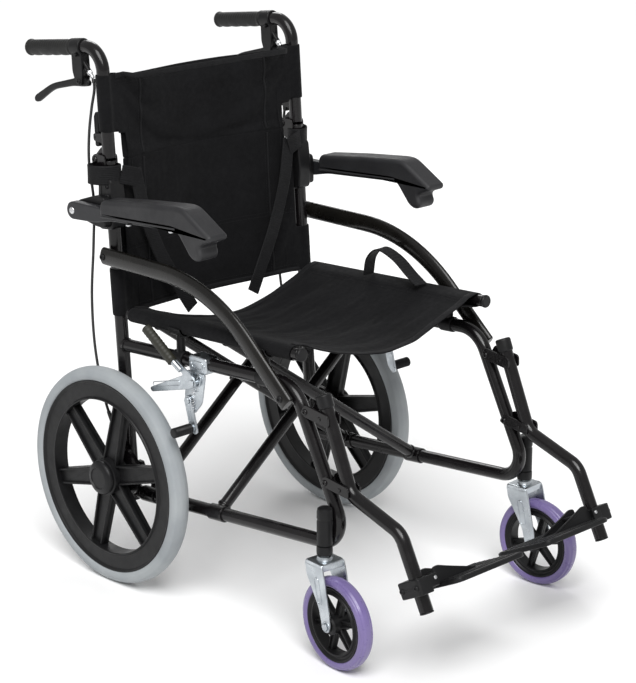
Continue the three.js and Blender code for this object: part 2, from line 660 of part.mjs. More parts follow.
const rearShapes = [
  ["rear_tyre", rearTyre(), GREY_TYRE],
  ["rear_rim", rearRim(), BLACK_PLASTIC],
  ["hub_cap", hubCap(), BLACK_PLASTIC],
  ["drum_brake", drumBrake(), BLACK_PAINT],
];
const casterWheelShapes = [
  ["caster_tyre", casterTyre(), VIOLET_TYRE],
  ["caster_rim", casterRim(), BLACK_PLASTIC],
];
const fork = casterFork();

for (const [sideName, side] of [["left", 1], ["right", -1]]) {
  const sided = (geometry) => (side > 0 ? geometry : mirrored(geometry));
  const addAll = (target, shapes) => {
    for (const [name, geometry, material] of shapes) {
      target.add(mesh(`${sideName}_${name}`, sided(geometry), material));
    }
  };
  addAll(group, frameShapes);

  const rearWheel = new THREE.Group();
  rearWheel.position.set(side * REAR_X, 0, REAR_Z);
  addAll(rearWheel, rearShapes);
  group.add(rearWheel);

  const caster = new THREE.Group();
  caster.position.set(side * CASTER_X, CASTER_Y, 0);
  caster.rotation.z = THREE.MathUtils.degToRad(side * CASTER_YAW);
  caster.add(mesh(`${sideName}_caster_fork`, sided(fork), ZINC));
  const wheel = new THREE.Group();
  wheel.position.set(0, CASTER_TRAIL, CASTER_Z);
  addAll(wheel, casterWheelShapes);
  caster.add(wheel);
  group.add(caster);
}

group.add(mesh("brace_a", brace(-1, CROSS_A, CROSS_B), BLACK_PAINT));
group.add(mesh("brace_b", brace(1, CROSS_B, null), BLACK_PAINT));
group.add(mesh("belt_loop", beltLoop(), FABRIC));
group.add(mesh("seat_sling", seatSling(), FABRIC));
group.add(mesh("back_upper", backPanel(BACK_SPLIT_Z + 1, 852, [760, 852]), FABRIC));
group.add(mesh("back_lower", backPanel(452, BACK_SPLIT_Z, [452, 534]), FABRIC));

export default group;
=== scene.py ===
"""Folding transport wheelchair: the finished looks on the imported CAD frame.

Lengths are in millimetres along the chair from the rear axle, as in the CAD source, and
row() turns them into metres in the frame. The left side is +X and the chair faces -Y.
"""
import math

import bmesh
import bpy
import numpy as np
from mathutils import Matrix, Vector, noise
from mathutils.bvhtree import BVHTree


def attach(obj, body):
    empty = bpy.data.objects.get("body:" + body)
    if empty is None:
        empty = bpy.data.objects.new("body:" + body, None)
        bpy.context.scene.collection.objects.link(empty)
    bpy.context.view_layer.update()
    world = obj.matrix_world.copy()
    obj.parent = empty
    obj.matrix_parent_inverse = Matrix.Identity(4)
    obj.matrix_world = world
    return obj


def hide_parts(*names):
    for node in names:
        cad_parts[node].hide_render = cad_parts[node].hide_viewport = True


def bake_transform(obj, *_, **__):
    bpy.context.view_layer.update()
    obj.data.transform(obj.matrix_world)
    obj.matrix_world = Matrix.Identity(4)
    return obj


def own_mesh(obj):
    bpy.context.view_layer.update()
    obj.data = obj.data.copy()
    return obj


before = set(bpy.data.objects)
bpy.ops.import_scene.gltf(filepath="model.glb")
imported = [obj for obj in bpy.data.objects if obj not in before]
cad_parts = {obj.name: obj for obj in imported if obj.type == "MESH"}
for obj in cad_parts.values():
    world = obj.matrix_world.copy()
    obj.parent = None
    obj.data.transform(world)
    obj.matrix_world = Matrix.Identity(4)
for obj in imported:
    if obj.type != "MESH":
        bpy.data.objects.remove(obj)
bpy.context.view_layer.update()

# ---- driving dimensions, the same as the CAD model's ----
AXLE_Y = 235.5  # rear axle, behind the middle of the footprint
TUBE_R = 11
FRAME_X = 212
LEG_X = 208
REAR_R = 187.1
REAR_X = 261
CASTER_R = 74.6
CASTER_X = 235.8
CASTER_Y = -485.7
CASTER_TRAIL = -31
CASTER_YAW = 5
POST_LEAN = 0.0706
RAIL_SLOPE = math.atan(0.085)
RAIL_REAR_Y, RAIL_REAR_Z = 5, 147
SEAT_RISE = 0.05
SEAT_RAIL_R = 10
SEAT_FRONT_Y, SEAT_REAR_Y = -396, -9
SEAT_SAG = 50
BACK_LOW, BACK_SPLIT, BACK_HIGH = 453, 711, 852
BACK_BELLY = 22
NOTCH_LOW, NOTCH_HIGH = 690, 755  # the cloth is cut back round the folding hinges
ARM_X = 248
ARM_PIVOT = (87, 627)
LEVER_PIVOT = (103, 835)
LEG_KNEE, LEG_END = (-620, 243.5), (-674.8, 133.9)
FOOT_Y, FOOT_Z, FOOT_TILT = -656.2, 168.5, math.atan2(62, 124)
PIN_X, PIN_Z = -18, 6
CROSS_A = (-52, -222)
CROSS_B = (-96, -262)
BRACE_R = 10
BELT_WIDTH, BELT_THICK = 26, 2.4
PARK_Y, PARK_Z = -185, 386
SHOE_Y, SHOE_Z = -168, 352
SLEEVE_R = 11.7
POST_SLEEVE_R = 13.0
CLOTH = 1.5
PIPING_X = 140
HELD_X = FRAME_X - 26  # cloth outside this stays on its tube
GRID = 5.5  # spacing of the cloth grids
HANDLE_SLOPE = 0.1243

SIDES = (("left", 1), ("right", -1))


def post_y(z):
    return 2 + POST_LEAN * (z - 175)


def upper_rail_z(y):
    return 403.2 - 0.0602 * y


def seat_rail_z(y):
    return 458 - SEAT_RISE * y


def front_tube_y(z):
    return -422 - (377 - z) * 0.504


def grip_z(y):
    return 897.5 - (y - 53) * HANDLE_SLOPE


def vec(*numbers):
    return np.array(numbers, dtype=float)


def unit(vector):
    return vector / np.linalg.norm(vector)


def row(points):
    """Millimetres from the rear axle to metres in the frame."""
    return (np.asarray(points, dtype=float) + vec(0, AXLE_Y, 0)) / 1000


# ---- camera, floor and light ----
CAMERA_AT = vec(-2487, -2766.5, 1505.5)
CAMERA_AZIMUTH, CAMERA_ELEVATION = math.radians(-44.58), math.radians(17.065)


def point_at(name, data, place, ahead):
    """Places a camera or a lamp so that it looks along a direction."""
    item = bpy.data.objects.new(name, data)
    bpy.context.collection.objects.link(item)
    item.location = place
    item.rotation_euler = Vector(ahead).to_track_quat("-Z", "Y").to_euler()
    return item


def add_camera():
    data = bpy.data.cameras.new("camera")
    data.lens = 118.2
    data.shift_x = -0.0073
    data.clip_end = 50
    flat = math.cos(CAMERA_ELEVATION)
    ahead = (-math.sin(CAMERA_AZIMUTH) * flat, math.cos(CAMERA_AZIMUTH) * flat,
             -math.sin(CAMERA_ELEVATION))
    bpy.context.scene.camera = point_at("camera", data, row(CAMERA_AT), ahead)


def add_light(kind, name, place, aim, size, power):
    """An area lamp of a size in metres, or a sun whose size is its angle in degrees."""
    data = bpy.data.lights.new(name, kind)
    data.energy = power
    if kind == "SUN":
        data.angle = math.radians(size)
    else:
        data.size = size
    point_at(name, data, place, Vector(aim) - Vector(place))


def add_stage():
    bpy.ops.mesh.primitive_plane_add(size=40, location=(0, 0, 0))
    floor = bpy.context.object
    floor.name = "floor"
    paint = bpy.data.materials.new("floor_paint")
    paint.use_nodes = True
    shader = paint.node_tree.nodes["Principled BSDF"]
    shader.inputs["Base Color"].default_value = (0.9, 0.9, 0.9, 1)
    shader.inputs["Roughness"].default_value = 0.9
    floor.data.materials.append(paint)
    world = bpy.data.worlds.new("studio")
    world.use_nodes = True
    world.node_tree.nodes["Background"].inputs["Color"].default_value = (1, 1, 1, 1)
    world.node_tree.nodes["Background"].inputs["Strength"].default_value = 0.5
    bpy.context.scene.world = world
    bpy.context.scene.view_settings.view_transform = "Standard"
    add_light("SUN", "sun", (-2.2, -2.0, 4.4), (0, 0, 0.4), 40, 2.6)
    add_light("AREA", "key", (-1.6, -2.6, 2.9), (0, 0, 0.4), 1.0, 26)
    add_light("AREA", "rim", (1.8, 2.4, 2.6), (0, 0, 0.5), 1.2, 24)


# ---- materials ----
class Surface:
    """One Principled material and the few node patterns that the finishes share."""

    def __init__(self, name, color, roughness, metallic=0.0, **constants):
        self.material = bpy.data.materials.new(name)
        self.material.use_nodes = True
        self.tree = self.material.node_tree
        self.shader = self.tree.nodes["Principled BSDF"]
        self.color = (*color, 1)
        self.fill(self.shader, dict(Base_Color=self.color, Roughness=roughness, Metallic=metallic,
                                    **constants))
        self.place = self.node("TexCoord", "Object")
        self.height = None

    def fill(self, node, inputs):
        """Gives each named input its value, or links it to the socket given."""
        for name, value in inputs.items():
            socket = node.inputs[name.replace("_", " ")]
            if isinstance(value, bpy.types.NodeSocket):
                self.tree.links.new(value, socket)
            else:
                socket.default_value = value

    def node(self, kind, output, settings=None, **inputs):
        made = self.tree.nodes.new("ShaderNode" + kind)
        for name, value in (settings or {}).items():
            setattr(made, name, value)
        self.fill(made, inputs)
        return made.outputs[output]

    def noise(self, scale, detail=4.0, stretch=(1, 1, 1)):
        place = self.node("Mapping", "Vector", Scale=stretch, Vector=self.place)
        return self.node("TexNoise", "Fac", Scale=scale, Detail=detail, Vector=place)

    def waves(self, spacing, direction):
        """Ridges a given spacing apart, in metres."""
        return self.node("TexWave", "Fac", {"bands_direction": direction},
                         Scale=math.pi / (10 * spacing), Distortion=0.0, Vector=self.place)

    def ramp(self, source, low, high):
        return self.node("MapRange", "Result", From_Min=0.3, From_Max=0.7, To_Min=low, To_Max=high,
                         Value=source)

    def tint(self, source, other):
        """The colour moves between the base one and another with the pattern."""
        mixed = self.node("Mix", "Result", {"data_type": "RGBA"}, A=self.color, B=(*other, 1),
                          Factor=self.ramp(source, 0, 1))
        self.fill(self.shader, {"Base Color": mixed})

    def gloss(self, source, low, high):
        self.fill(self.shader, {"Roughness": self.ramp(source, low, high)})

    def relief(self, source, depth):
        """A bump of that depth in metres, stacked on those before it."""
        below = {"Normal": self.height} if self.height else {}
        self.height = self.node("Bump", "Normal", Distance=depth, Height=source, **below)
        self.fill(self.shader, {"Normal": self.height})


def finish(name, color, other, roughness, spots, wear, grain, **constants):
    """Colour and gloss that vary a little, over a fine grain; each pattern is (scale, detail, ...)."""
    surface = Surface(name, color, roughness, **constants)
    surface.tint(surface.noise(*spots), other)
    surface.gloss(surface.noise(*wear[:2]), *wear[2:])
    surface.relief(surface.noise(*grain[:-1]), grain[-1])
    return surface.material


def moulded(name, color, other, roughness, grain=900, depth=0.0001, **constants):
    return finish(name, color, other, roughness, (14,), (70, 5, roughness - 0.07, roughness + 0.09),
                  (grain, 3, depth), **constants)


def woven(name, color, other, spacing, roughness=0.85, depth=0.0001, directions="XYZ"):
    cloth = Surface(name, color, roughness, Sheen_Weight=0.03, Sheen_Roughness=0.5,
                    Specular_IOR_Level=0.16)
    cloth.tint(cloth.noise(18, 6), other)
    cloth.gloss(cloth.noise(120, 4), roughness - 0.08, roughness + 0.1)
    for direction in directions:
        cloth.relief(cloth.waves(spacing, direction), depth)
    cloth.relief(cloth.noise(28, 5), 0.0012)
    return cloth.material


def make_finishes():
    """The material and the slot of each finish."""
    dull, satin = {"Specular_IOR_Level": 0.3}, {"Specular_IOR_Level": 0.35}
    plastic = moulded("black_plastic", (0.0045, 0.0045, 0.005), (0.0085, 0.0085, 0.009), 0.42,
                      Specular_IOR_Level=0.24)
    webbing = woven("black_webbing", (0.0055, 0.0055, 0.006), (0.0095, 0.0095, 0.0105), 0.003, 0.65,
                    0.0003, "Z")
    return {
        "paint": (finish("black_paint", (0.003, 0.0026, 0.0029), (0.0065, 0.0055, 0.006), 0.24, (9,),
                         (60, 6, 0.16, 0.3), (420, 2, 0.00012), Coat_Weight=0.2, Coat_Roughness=0.05,
                         Specular_IOR_Level=0.26), "black_paint"),
        "arch": (finish("arch_paint", (0.0042, 0.0038, 0.0034), (0.008, 0.0072, 0.006), 0.26, (11,),
                        (45, 6, 0.2, 0.36), (380, 2, 0.00015), Coat_Weight=0.22, Coat_Roughness=0.08,
                        Specular_IOR_Level=0.28), "black_paint"),
        "frame_plastic": (plastic, "black_paint"),
        "plastic": (plastic, "black_plastic"),
        "grip": (moulded("grip_rubber", (0.007, 0.007, 0.007), (0.012, 0.012, 0.0115), 0.58, 500,
                         0.0002, Specular_IOR_Level=0.32), "black_plastic"),
        "olive": (moulded("olive_sleeve", (0.014, 0.014, 0.009), (0.023, 0.022, 0.014), 0.55),
                  "black_plastic"),
        "pad": (moulded("foam_skin", (0.014, 0.014, 0.0155), (0.023, 0.023, 0.0245), 0.52, 650,
                        0.00025, **satin), "pad_grey"),
        # a lighter copy of the pad's foam for its parting ridge: the ridge is real, its lighter colour is
        # a painted highlight
        "pad_rim": (moulded("foam_lip_painted_highlight", (0.022, 0.022, 0.0235), (0.032, 0.032, 0.034), 0.55, 650,
                            0.0002, **satin), "pad_grey"),
        "bar": (moulded("grey_plastic", (0.014, 0.0145, 0.016), (0.022, 0.0225, 0.025), 0.42, **dull),
                "pad_grey"),
        "tyre": (moulded("grey_tyre", (0.25, 0.27, 0.285), (0.33, 0.35, 0.36), 0.6, 420, 0.00018,
                         **dull), "grey_tyre"),
        "violet": (moulded("violet_tyre", (0.13, 0.098, 0.245), (0.175, 0.135, 0.31), 0.3, 300,
                           Coat_Weight=0.2, Coat_Roughness=0.15), "violet_tyre"),
        "zinc": (finish("zinc_plate", (0.4, 0.43, 0.46), (0.62, 0.66, 0.69), 0.3, (35, 5),
                        (90, 6, 0.22, 0.45), (300, 4, (1, 1, 6), 0.0001), metallic=1.0), "zinc"),
        "steel": (moulded("screw_steel", (0.55, 0.56, 0.57), (0.68, 0.68, 0.69), 0.32, 200, 0.00005,
                          metallic=1.0), "zinc"),
        "nylon": (woven("black_nylon", (0.0022, 0.0022, 0.0027), (0.0042, 0.0042, 0.005), 0.0024),
                  "fabric"),
        "piping": (woven("black_piping", (0.005, 0.005, 0.0056), (0.0085, 0.0085, 0.0095), 0.0016,
                         0.7), "fabric"),
        "thread": (webbing, "fabric"),
        "webbing": (webbing, "fabric"),
        "cable": (moulded("cable_housing", (0.012, 0.012, 0.012), (0.02, 0.02, 0.02), 0.35), "cable"),
    }


# ---- shapes: each is (points, faces) in millimetres, drawn for the left side ----
def merge(*shapes):
    points, faces, base = [], [], 0
    for some, their in shapes:
        points.append(np.asarray(some))
        faces.extend(tuple(i + base for i in face) for face in their)
        base += len(some)
    return np.concatenate(points), faces


def moved(shape, offset):
    return shape[0] + vec(*offset), shape[1]


def turned(shape, angle, axis):
    """Rotated by the right-hand rule about a coordinate axis."""
    c, s = math.cos(angle), math.sin(angle)
    a, b = {"x": (1, 2), "y": (2, 0), "z": (0, 1)}[axis]
    points = shape[0].copy()
    points[:, a] = c * shape[0][:, a] - s * shape[0][:, b]
    points[:, b] = s * shape[0][:, a] + c * shape[0][:, b]
    return points, shape[1]


def rings_to_shape(rings, closed=False):
    """Rings of equal length joined in order, capped at both ends unless closed on themselves."""
    count, sides = len(rings), len(rings[0])
    faces = []
    for i in range(count if closed else count - 1):
        here, there = i * sides, ((i + 1) % count) * sides
        for k in range(sides):
            n = (k + 1) % sides
            faces.append((here + k, here + n, there + n, there + k))
    if not closed:
        faces.append(tuple(reversed(range(sides))))
        faces.append(tuple((count - 1) * sides + k for k in range(sides)))
    return np.concatenate(rings), faces


def bent_path(corners, radius, step=5):
    """A path through corner points, each corner rounded to one bend radius."""
    corners = [vec(*corner) for corner in corners]
    path = [corners[0]]
    for before, corner, after in zip(corners, corners[1:], corners[2:]):
        into, out = unit(corner - before), unit(after - corner)
        turn = math.acos(np.clip(into @ out, -1, 1))
        start = corner - into * radius * math.tan(turn / 2)
        inward = np.cross(unit(np.cross(into, out)), into)
        for a in np.linspace(0, turn, max(3, math.ceil(math.degrees(turn) / step)) + 1):
            path.append(start + radius * (math.sin(a) * into + (1 - math.cos(a)) * inward))
    return np.array([*path, corners[-1]])


def smooth_path(points, steps=10):
    """A centripetal Catmull-Rom curve through the points."""
    points = [vec(*p) for p in points]
    points = [2 * points[0] - points[1], *points, 2 * points[-1] - points[-2]]
    path = []

    def between(t, start, end, p, q):
        return ((end - t) * p + (t - start) * q) / (end - start)

    for p0, p1, p2, p3 in zip(points, points[1:], points[2:], points[3:]):
        t1, t2, t3 = np.cumsum([np.linalg.norm(q - p) ** 0.5 for p, q in ((p0, p1), (p1, p2), (p2, p3))])
        for t in np.linspace(t1, t2, steps, endpoint=False):
            middle = between(t, t1, t2, p1, p2)
            path.append(between(t, t1, t2, between(t, 0, t2, between(t, 0, t1, p0, p1), middle),
                                between(t, t1, t3, middle, between(t, t2, t3, p2, p3))))
    return np.array([*path, points[-2]])


def frames_along(path, across):
    """Unit tangent, across and up vectors at each station, carried along without twist."""
    steps = [unit(step) for step in np.diff(path, axis=0)]
    tangents = [steps[0], *[unit(a + b) for a, b in zip(steps, steps[1:])], steps[-1]]
    side = vec(*across)
    frames = []
    for tangent in tangents:
        side = unit(side - tangent * (side @ tangent))
        frames.append((tangent, side, np.cross(tangent, side)))
    return frames


def sweep(path, section, across=(1, 0, 0), edge=1.2, scales=None):
    """A section of (across, up) points along a path, with its two ends rounded off."""
    path = np.asarray(path, dtype=float)
    section = np.asarray(section, dtype=float)
    half = np.abs(section).max()
    scales = np.ones(len(path)) if scales is None else scales
    frames = frames_along(path, across)
    rings = []

    def ring(station, along, scale):
        tangent, side, up = frames[station]
        flat = section * scale
        rings.append(path[station] + tangent * along + np.outer(flat[:, 0], side)
                     + np.outer(flat[:, 1], up))

    def end(station, way, turns):
        for a in np.radians(turns):
            ring(station, way * edge * (1 - math.cos(a)),
                 scales[station] * (1 - edge * (1 - math.sin(a)) / half))

    end(0, 1, (0, 30, 60, 90))
    for station in range(1, len(path) - 1):
        ring(station, 0, scales[station])
    end(-1, -1, (90, 60, 30, 0))
    return rings_to_shape(rings)


def oval(half_width, half_height, sides=32, start=0.0):
    angles = start + 2 * math.pi * np.arange(sides) / sides
    return np.stack([half_width * np.cos(angles), half_height * np.sin(angles)], axis=1)


def tube(path, radius=TUBE_R, sides=32, across=(1, 0, 0), edge=1.2):
    return sweep(path, oval(radius, radius, sides), across, edge)


def rod(start, end, radius, sides=32, edge=1.0):
    """A straight round bar."""
    start, end = vec(*start), vec(*end)
    steep = abs(end[2] - start[2]) >= 0.8 * np.linalg.norm(end - start)
    return sweep([start, end], oval(radius, radius, sides), (0, 1, 0) if steep else (0, 0, 1), edge)


def fillet(outline, radius, steps=4):
    """A closed outline with each corner rounded, as far as its sides allow."""
    outline = [vec(*p) for p in outline]
    smooth = []
    for i, corner in enumerate(outline):
        back, on = outline[i - 1] - corner, outline[(i + 1) % len(outline)] - corner
        reach = min(radius, 0.45 * np.linalg.norm(back), 0.45 * np.linalg.norm(on))
        start, end = corner + unit(back) * reach, corner + unit(on) * reach
        smooth += [(1 - t) ** 2 * start + 2 * t * (1 - t) * corner + t ** 2 * end
                   for t in np.linspace(0, 1, steps + 1)]
    return np.array(smooth)


def counter_clockwise(outline):
    following = np.roll(outline, -1, axis=0)
    area = np.sum(outline[:, 0] * following[:, 1] - following[:, 0] * outline[:, 1])
    return outline if area > 0 else outline[::-1]


def prism(outline, low, high, corner=2.0, edge=0.8, axes="yzx", edge_steps=3):
    """An outline with rounded corners, thickened from low to high along the third axis."""
    outline = counter_clockwise(fillet(outline, corner))
    along = np.roll(outline, -1, axis=0) - np.roll(outline, 1, axis=0)
    along /= np.linalg.norm(along, axis=1)[:, None] + 1e-9
    outward = np.stack([along[:, 1], -along[:, 0]], axis=1)
    turns = np.linspace(0, math.pi / 2, edge_steps + 1)
    levels = [(a, low + edge * (1 - math.cos(a))) for a in turns]
    levels += [(a, high - edge * (1 - math.cos(a))) for a in reversed(turns)]
    rings = []
    for a, level in levels:
        flat = outline - outward * edge * (1 - math.sin(a))
        ring = np.column_stack([flat, np.full(len(flat), level)])
        rings.append(ring[:, [axes.index(axis) for axis in "xyz"]])
    points, faces = rings_to_shape(rings)
    if axes in ("yzx", "zxy", "xyz"):
        return points, faces
    return points, [face[::-1] for face in faces]


def block(centre, size, edge=1.2, corner=2.0):
    (x, y, z), (w, l, h) = centre, size
    outline = [(y - l / 2, z - h / 2), (y + l / 2, z - h / 2), (y + l / 2, z + h / 2),
               (y - l / 2, z + h / 2)]
    return prism(outline, x - w / 2, x + w / 2, corner, edge)


def lathe(profile, sides=72, closed=False, axis="x"):
    """A (radius, station) profile turned about an axis."""
    angles = 2 * math.pi * np.arange(sides) / sides
    rings = []
    for radius, station in profile:
        radius = max(radius, 0.02)  # the middle of a cap is a very small ring
        ring = [np.full(sides, float(station)), radius * np.cos(angles), radius * np.sin(angles)]
        rings.append(np.roll(np.stack(ring, axis=1), 0 if axis == "x" else -1, axis=1))
    return rings_to_shape(rings, closed)


def dome_screw(centre, radius, height=None, way=1):
    """A round screw head with a hex socket that faces out (way 1), in (-1) or down (0)."""
    height = height or radius * 0.55
    profile = [(radius, 0)] + [(radius * (0.55 + 0.45 * math.cos(a)), height * math.sin(a))
                               for a in np.linspace(0, math.pi / 2, 5)]
    head = lathe(profile + [(radius * 0.42, height), (radius * 0.36, height * 0.45)], 24)
    turn = {1: (0, "z"), -1: (math.pi, "z"), 0: (math.pi / 2, "y")}[way]
    return moved(turned(head, *turn), centre)


# ---- pieces ----
# angle of the sharp edges in degrees and whether normals are weighted, where not 38 and True
EDGES = {"pad": (55, True), "tyre": (30, False), "violet": (30, False), "webbing": (60, False),
         "grip": (0, False), "nylon": (0, False), "piping": (0, False), "thread": (0, False)}


def add_piece(name, shape, look, body, stands_for=None, side=1):
    """One Blender object from a shape, on its body, in place of the CAD node it stands for."""
    material, slot = FINISHES[look]
    sharp, weighted = EDGES.get(look, (38, True))
    points, faces = shape
    mesh = bpy.data.meshes.new(name)
    mesh.from_pydata(row(points * vec(side, 1, 1)).tolist(), [], [tuple(face) for face in faces])
    tidy = bmesh.new()
    tidy.from_mesh(mesh)
    bmesh.ops.remove_doubles(tidy, verts=tidy.verts, dist=1e-6)
    bmesh.ops.recalc_face_normals(tidy, faces=tidy.faces)
    tidy.to_mesh(mesh)
    tidy.free()
    mesh.materials.append(material)
    mesh.polygons.foreach_set("use_smooth", [True] * len(mesh.polygons))
    if sharp:
        mesh.set_sharp_from_angle(angle=math.radians(sharp))
    piece = bpy.data.objects.new(name, mesh)
    bpy.context.collection.objects.link(piece)
    if weighted:
        piece.modifiers.new("weighted", "WEIGHTED_NORMAL").keep_sharp = True
    if stands_for:
        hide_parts(stands_for)
    if body:
        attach(piece, body)
    return piece


# ---- side frame ----
def placed(offset, rows, tilt=0.0):
    """Rows of pieces drawn about a point of their own, tilted about X and moved out to it."""
    return [(name, moved(turned(shape, tilt, "x"), offset), *rest) for name, shape, *rest in rows]


def post_bar(low, high, radius, edge=1.0):
    """A round bar on the line of the back post."""
    return rod((0, post_y(low), low), (0, post_y(high), high), radius, 32, edge)


def frame_tubes():
    upper = bent_path([(0, 14, upper_rail_z(14)), (0, -396, upper_rail_z(-396)),
                       (0, front_tube_y(320), 320)], 55)
    lower = bent_path([(0, front_tube_y(320), 320), (0, -516, 191.5), (0, 2, RAIL_REAR_Z + 0.3)], 40)
    beads = [weld(z) for z in (upper_rail_z(14), RAIL_REAR_Z + 1)]
    return merge(tube(np.concatenate([upper[:-1], lower[1:]])), post_bar(134, 712, TUBE_R), *beads)


def weld(z):
    """A ring bead where a rail meets the front of the back post."""
    bead = turned(lathe(oval(1.9, 1.9, 8) + vec(TUBE_R, 0), 32, True), math.pi / 2, "z")
    return moved(bead, (0, post_y(z) - TUBE_R - 0.4, z))


def saddle(y):
    """The cradle on the upper rail that the seat rail drops into."""
    rail, seat = upper_rail_z(y), seat_rail_z(y)
    cup = [(r * math.cos(a), seat + r * math.sin(a))
           for r, turns in ((16.2, np.linspace(-math.pi, 0, 13)),
                            (12.9, np.linspace(0, -math.pi, 13))) for a in turns]
    foot = rod((0, y, rail + 5), (0, y, seat - 13.2), 7.5, 24)
    clip = rod((0, y - 13, rail + 0.8), (0, y + 13, rail - 0.8), 13.2)
    return merge(prism(cup, y - 14, y + 14, 1, 0.8, "xzy"), foot, clip)


def arch_tube():
    path = bent_path([(20.2, 38, 555), (20.2, -225, 555.5), (20.2, -401, 400)], 300, 3)
    return sweep(path, oval(8, 15, 40), (1, 0, 0), 2.5)


def leg_route():
    return bent_path([(0, -457, 416), (0, -515, 278), (0, *LEG_KNEE), (0, *LEG_END)], 34)


def leg_bracket(z, height):
    """A pressed steel hook between the leg tube and the front tube."""
    y = -457 - (416 - z) * 0.42
    outline = [(y - 11, z - height), (y + 42, z - height + 7), (y + 50, z + 2), (y + 42, z + height + 7),
               (y - 10, z + height)]
    plates = [prism(outline, x - 1.6, x + 1.6, 6, 0.8) for x in (-11.8, 13.2)]
    pin = rod((-15, y + 9, z + 1), (16.4, y + 9, z + 1), 3.4, 20)
    heads = [dome_screw((x, y + 40, z + 5), 5, way=way) for x, way in ((14.8, 1), (-13.4, -1))]
    return merge(*plates, pin, *heads)


def leg_cap():
    route = leg_route()
    ahead, down = unit(route[1] - route[0]), unit(route[-1] - route[-2])
    return merge(rod(route[0] - ahead * 9, route[0] + ahead * 14, 12.9, 32, 3.5),
                 rod(route[-1] - down * 0.5, route[-1] + down * 3, 11.3, 32, 2))


def frame_rows():
    nut = moved(lathe([(10, 0), (10, 7), (7, 9), (3, 9)], 6), (-20, 0, REAR_R))
    boss = rod((0, 0, REAR_R), (15, 0, REAR_R), 13.9, 40, 1.5)
    saddles = merge(saddle(-130), saddle(-330), post_bar(131.5, 140, 11.8, 2.5))
    screws = [dome_screw((28, y, z), 6) for y, z in ((post_y(555) + 2, 555), (-391, 409))]
    legs = merge(tube(leg_route()), leg_bracket(388, 10), leg_bracket(284, 9))
    return placed((FRAME_X, 0, 0), [
        ("frame_tubes", frame_tubes(), "paint", "side", "frame"),
        ("axle_boss", merge(boss, nut), "paint", "side"),
        ("seat_saddles", saddles, "frame_plastic", "side"),
        ("arch_tube", arch_tube(), "arch", "side", "side_arch"),
        ("arch_screws", merge(*screws), "frame_plastic", "side"),
    ]) + placed((LEG_X, 0, 0), [
        ("leg_rest", legs, "paint", "side", "leg_tube"),
        ("leg_cap", leg_cap(), "frame_plastic", "side"),
    ])


# ---- wheels ----
def both_halves(profile):
    """A (radius, station) profile carried on as its own mirror image."""
    return profile + [(radius, -station) for radius, station in reversed(profile)]


def wheel_tyre(inner, shoulder, outer, half, crown):
    """A rounded tyre section: inner edge, widest place, tread."""
    right = [(inner, half * 0.78), (inner + 2, half * 0.92), (shoulder, half),
             (outer - (outer - shoulder) * 0.35, half * 0.86), (outer - 2.2, half * 0.58),
             (outer, crown)]
    return lathe(fillet(both_halves(right), 5, 5), 128, True)


def spoke(reach_from, reach_to, width_from, width_to, half, rib):
    """One channel spoke: a thin web between two raised ribs, pointing along +Z."""
    a, b = width_from / 2, width_to / 2
    strips = ((-a, a, -b, b, half * 0.42), (a - rib, a, b - rib, b, half),
              (-a, -a + rib, -b, -b + rib, half))
    return merge(*[prism([(y0, reach_from), (y1, reach_from), (y3, reach_to), (y2, reach_to)],
                         -depth, depth, 0.8, 0.9) for y0, y1, y2, y3, depth in strips])


def wheel_rim(band, band_half, hub_radius, hub_half, spoke_widths, spoke_half, rib):
    inner, outer = band
    lip = 2.6
    groove = band_half - 3.2
    ring = [(inner, -band_half), (inner + lip, -band_half), (inner + lip + 1.5, -groove),
            (outer - lip - 3, -groove), (outer - lip, -band_half), (outer, -band_half)]
    hub = [(0, -hub_half), (hub_radius * 0.82, -hub_half), (hub_radius, -hub_half + 3)]
    spokes = [turned(spoke(hub_radius * 0.8, inner + 2, *spoke_widths, spoke_half, rib),
                     k * math.pi / 3 + 0.26, "x") for k in range(6)]
    return merge(lathe(fillet(both_halves(ring), 1.2, 3), 128, True), lathe(both_halves(hub), 64),
                 *spokes)


def wheel_rows():
    cap = [(24, 18.3), (29, 18.5), (29, 21.5), (27.5, 24.5), (24, 27), (18.5, 28), (17.6, 26.6),
           (0, 26.9)]
    drum = lathe([(0, -34), (40, -34), (43, -32.5), (43, -25), (41, -23.5), (36, -20), (0, -19)], 64)
    arm = prism([(-2, 30), (14, 28), (26, 60), (24, 68), (14, 70)], -32, -27, 4, 0.8)
    case = merge(drum, rod((-30, 0, 0), (17.8, 0, 0), 6, 24), arm, dome_screw((-26.8, 19, 62), 4.5))
    return placed((REAR_X, 0, REAR_R), [
        ("rear_rubber", wheel_tyre(165.8, 174, REAR_R, 16.8, 4), "tyre", "rear_wheel", "rear_tyre"),
        ("rear_wheel_rim", wheel_rim((133, 166), 14, 31, 18, (33, 26), 8.5, 3.6), "plastic",
         "rear_wheel", "rear_rim"),
        ("rear_hub_cap", lathe(cap, 64), "plastic", "rear_wheel", "hub_cap"),
        ("drum_case", case, "paint", "side", "drum_brake"),
    ])


def racetrack(y, z, half_width, half_height, lean):
    """A slanted slot outline, as points in the side plane."""
    u, v = oval(half_width, half_width, 28, 0.01).T
    v = v + np.sign(v) * (half_height - half_width)
    c, s = math.cos(lean), math.sin(lean)
    return list(zip(y + u * c + v * s, z - u * s + v * c))


def ribbon(outline, x, radius=0.9):
    """A fine raised bead following a closed outline on a plate's face."""
    closed = [vec(x, y, z) for y, z in outline]
    return sweep([*closed, closed[0]], oval(radius, radius, 10), (1, 0, 0), 0.2)


FORK_OUTLINE = [(-20, 172), (20, 172), (17, 150), (-14, 100), (-22, 70), (-29, 64), (-37, 66),
                (-41, 76), (-38, 96), (-27, 148)]


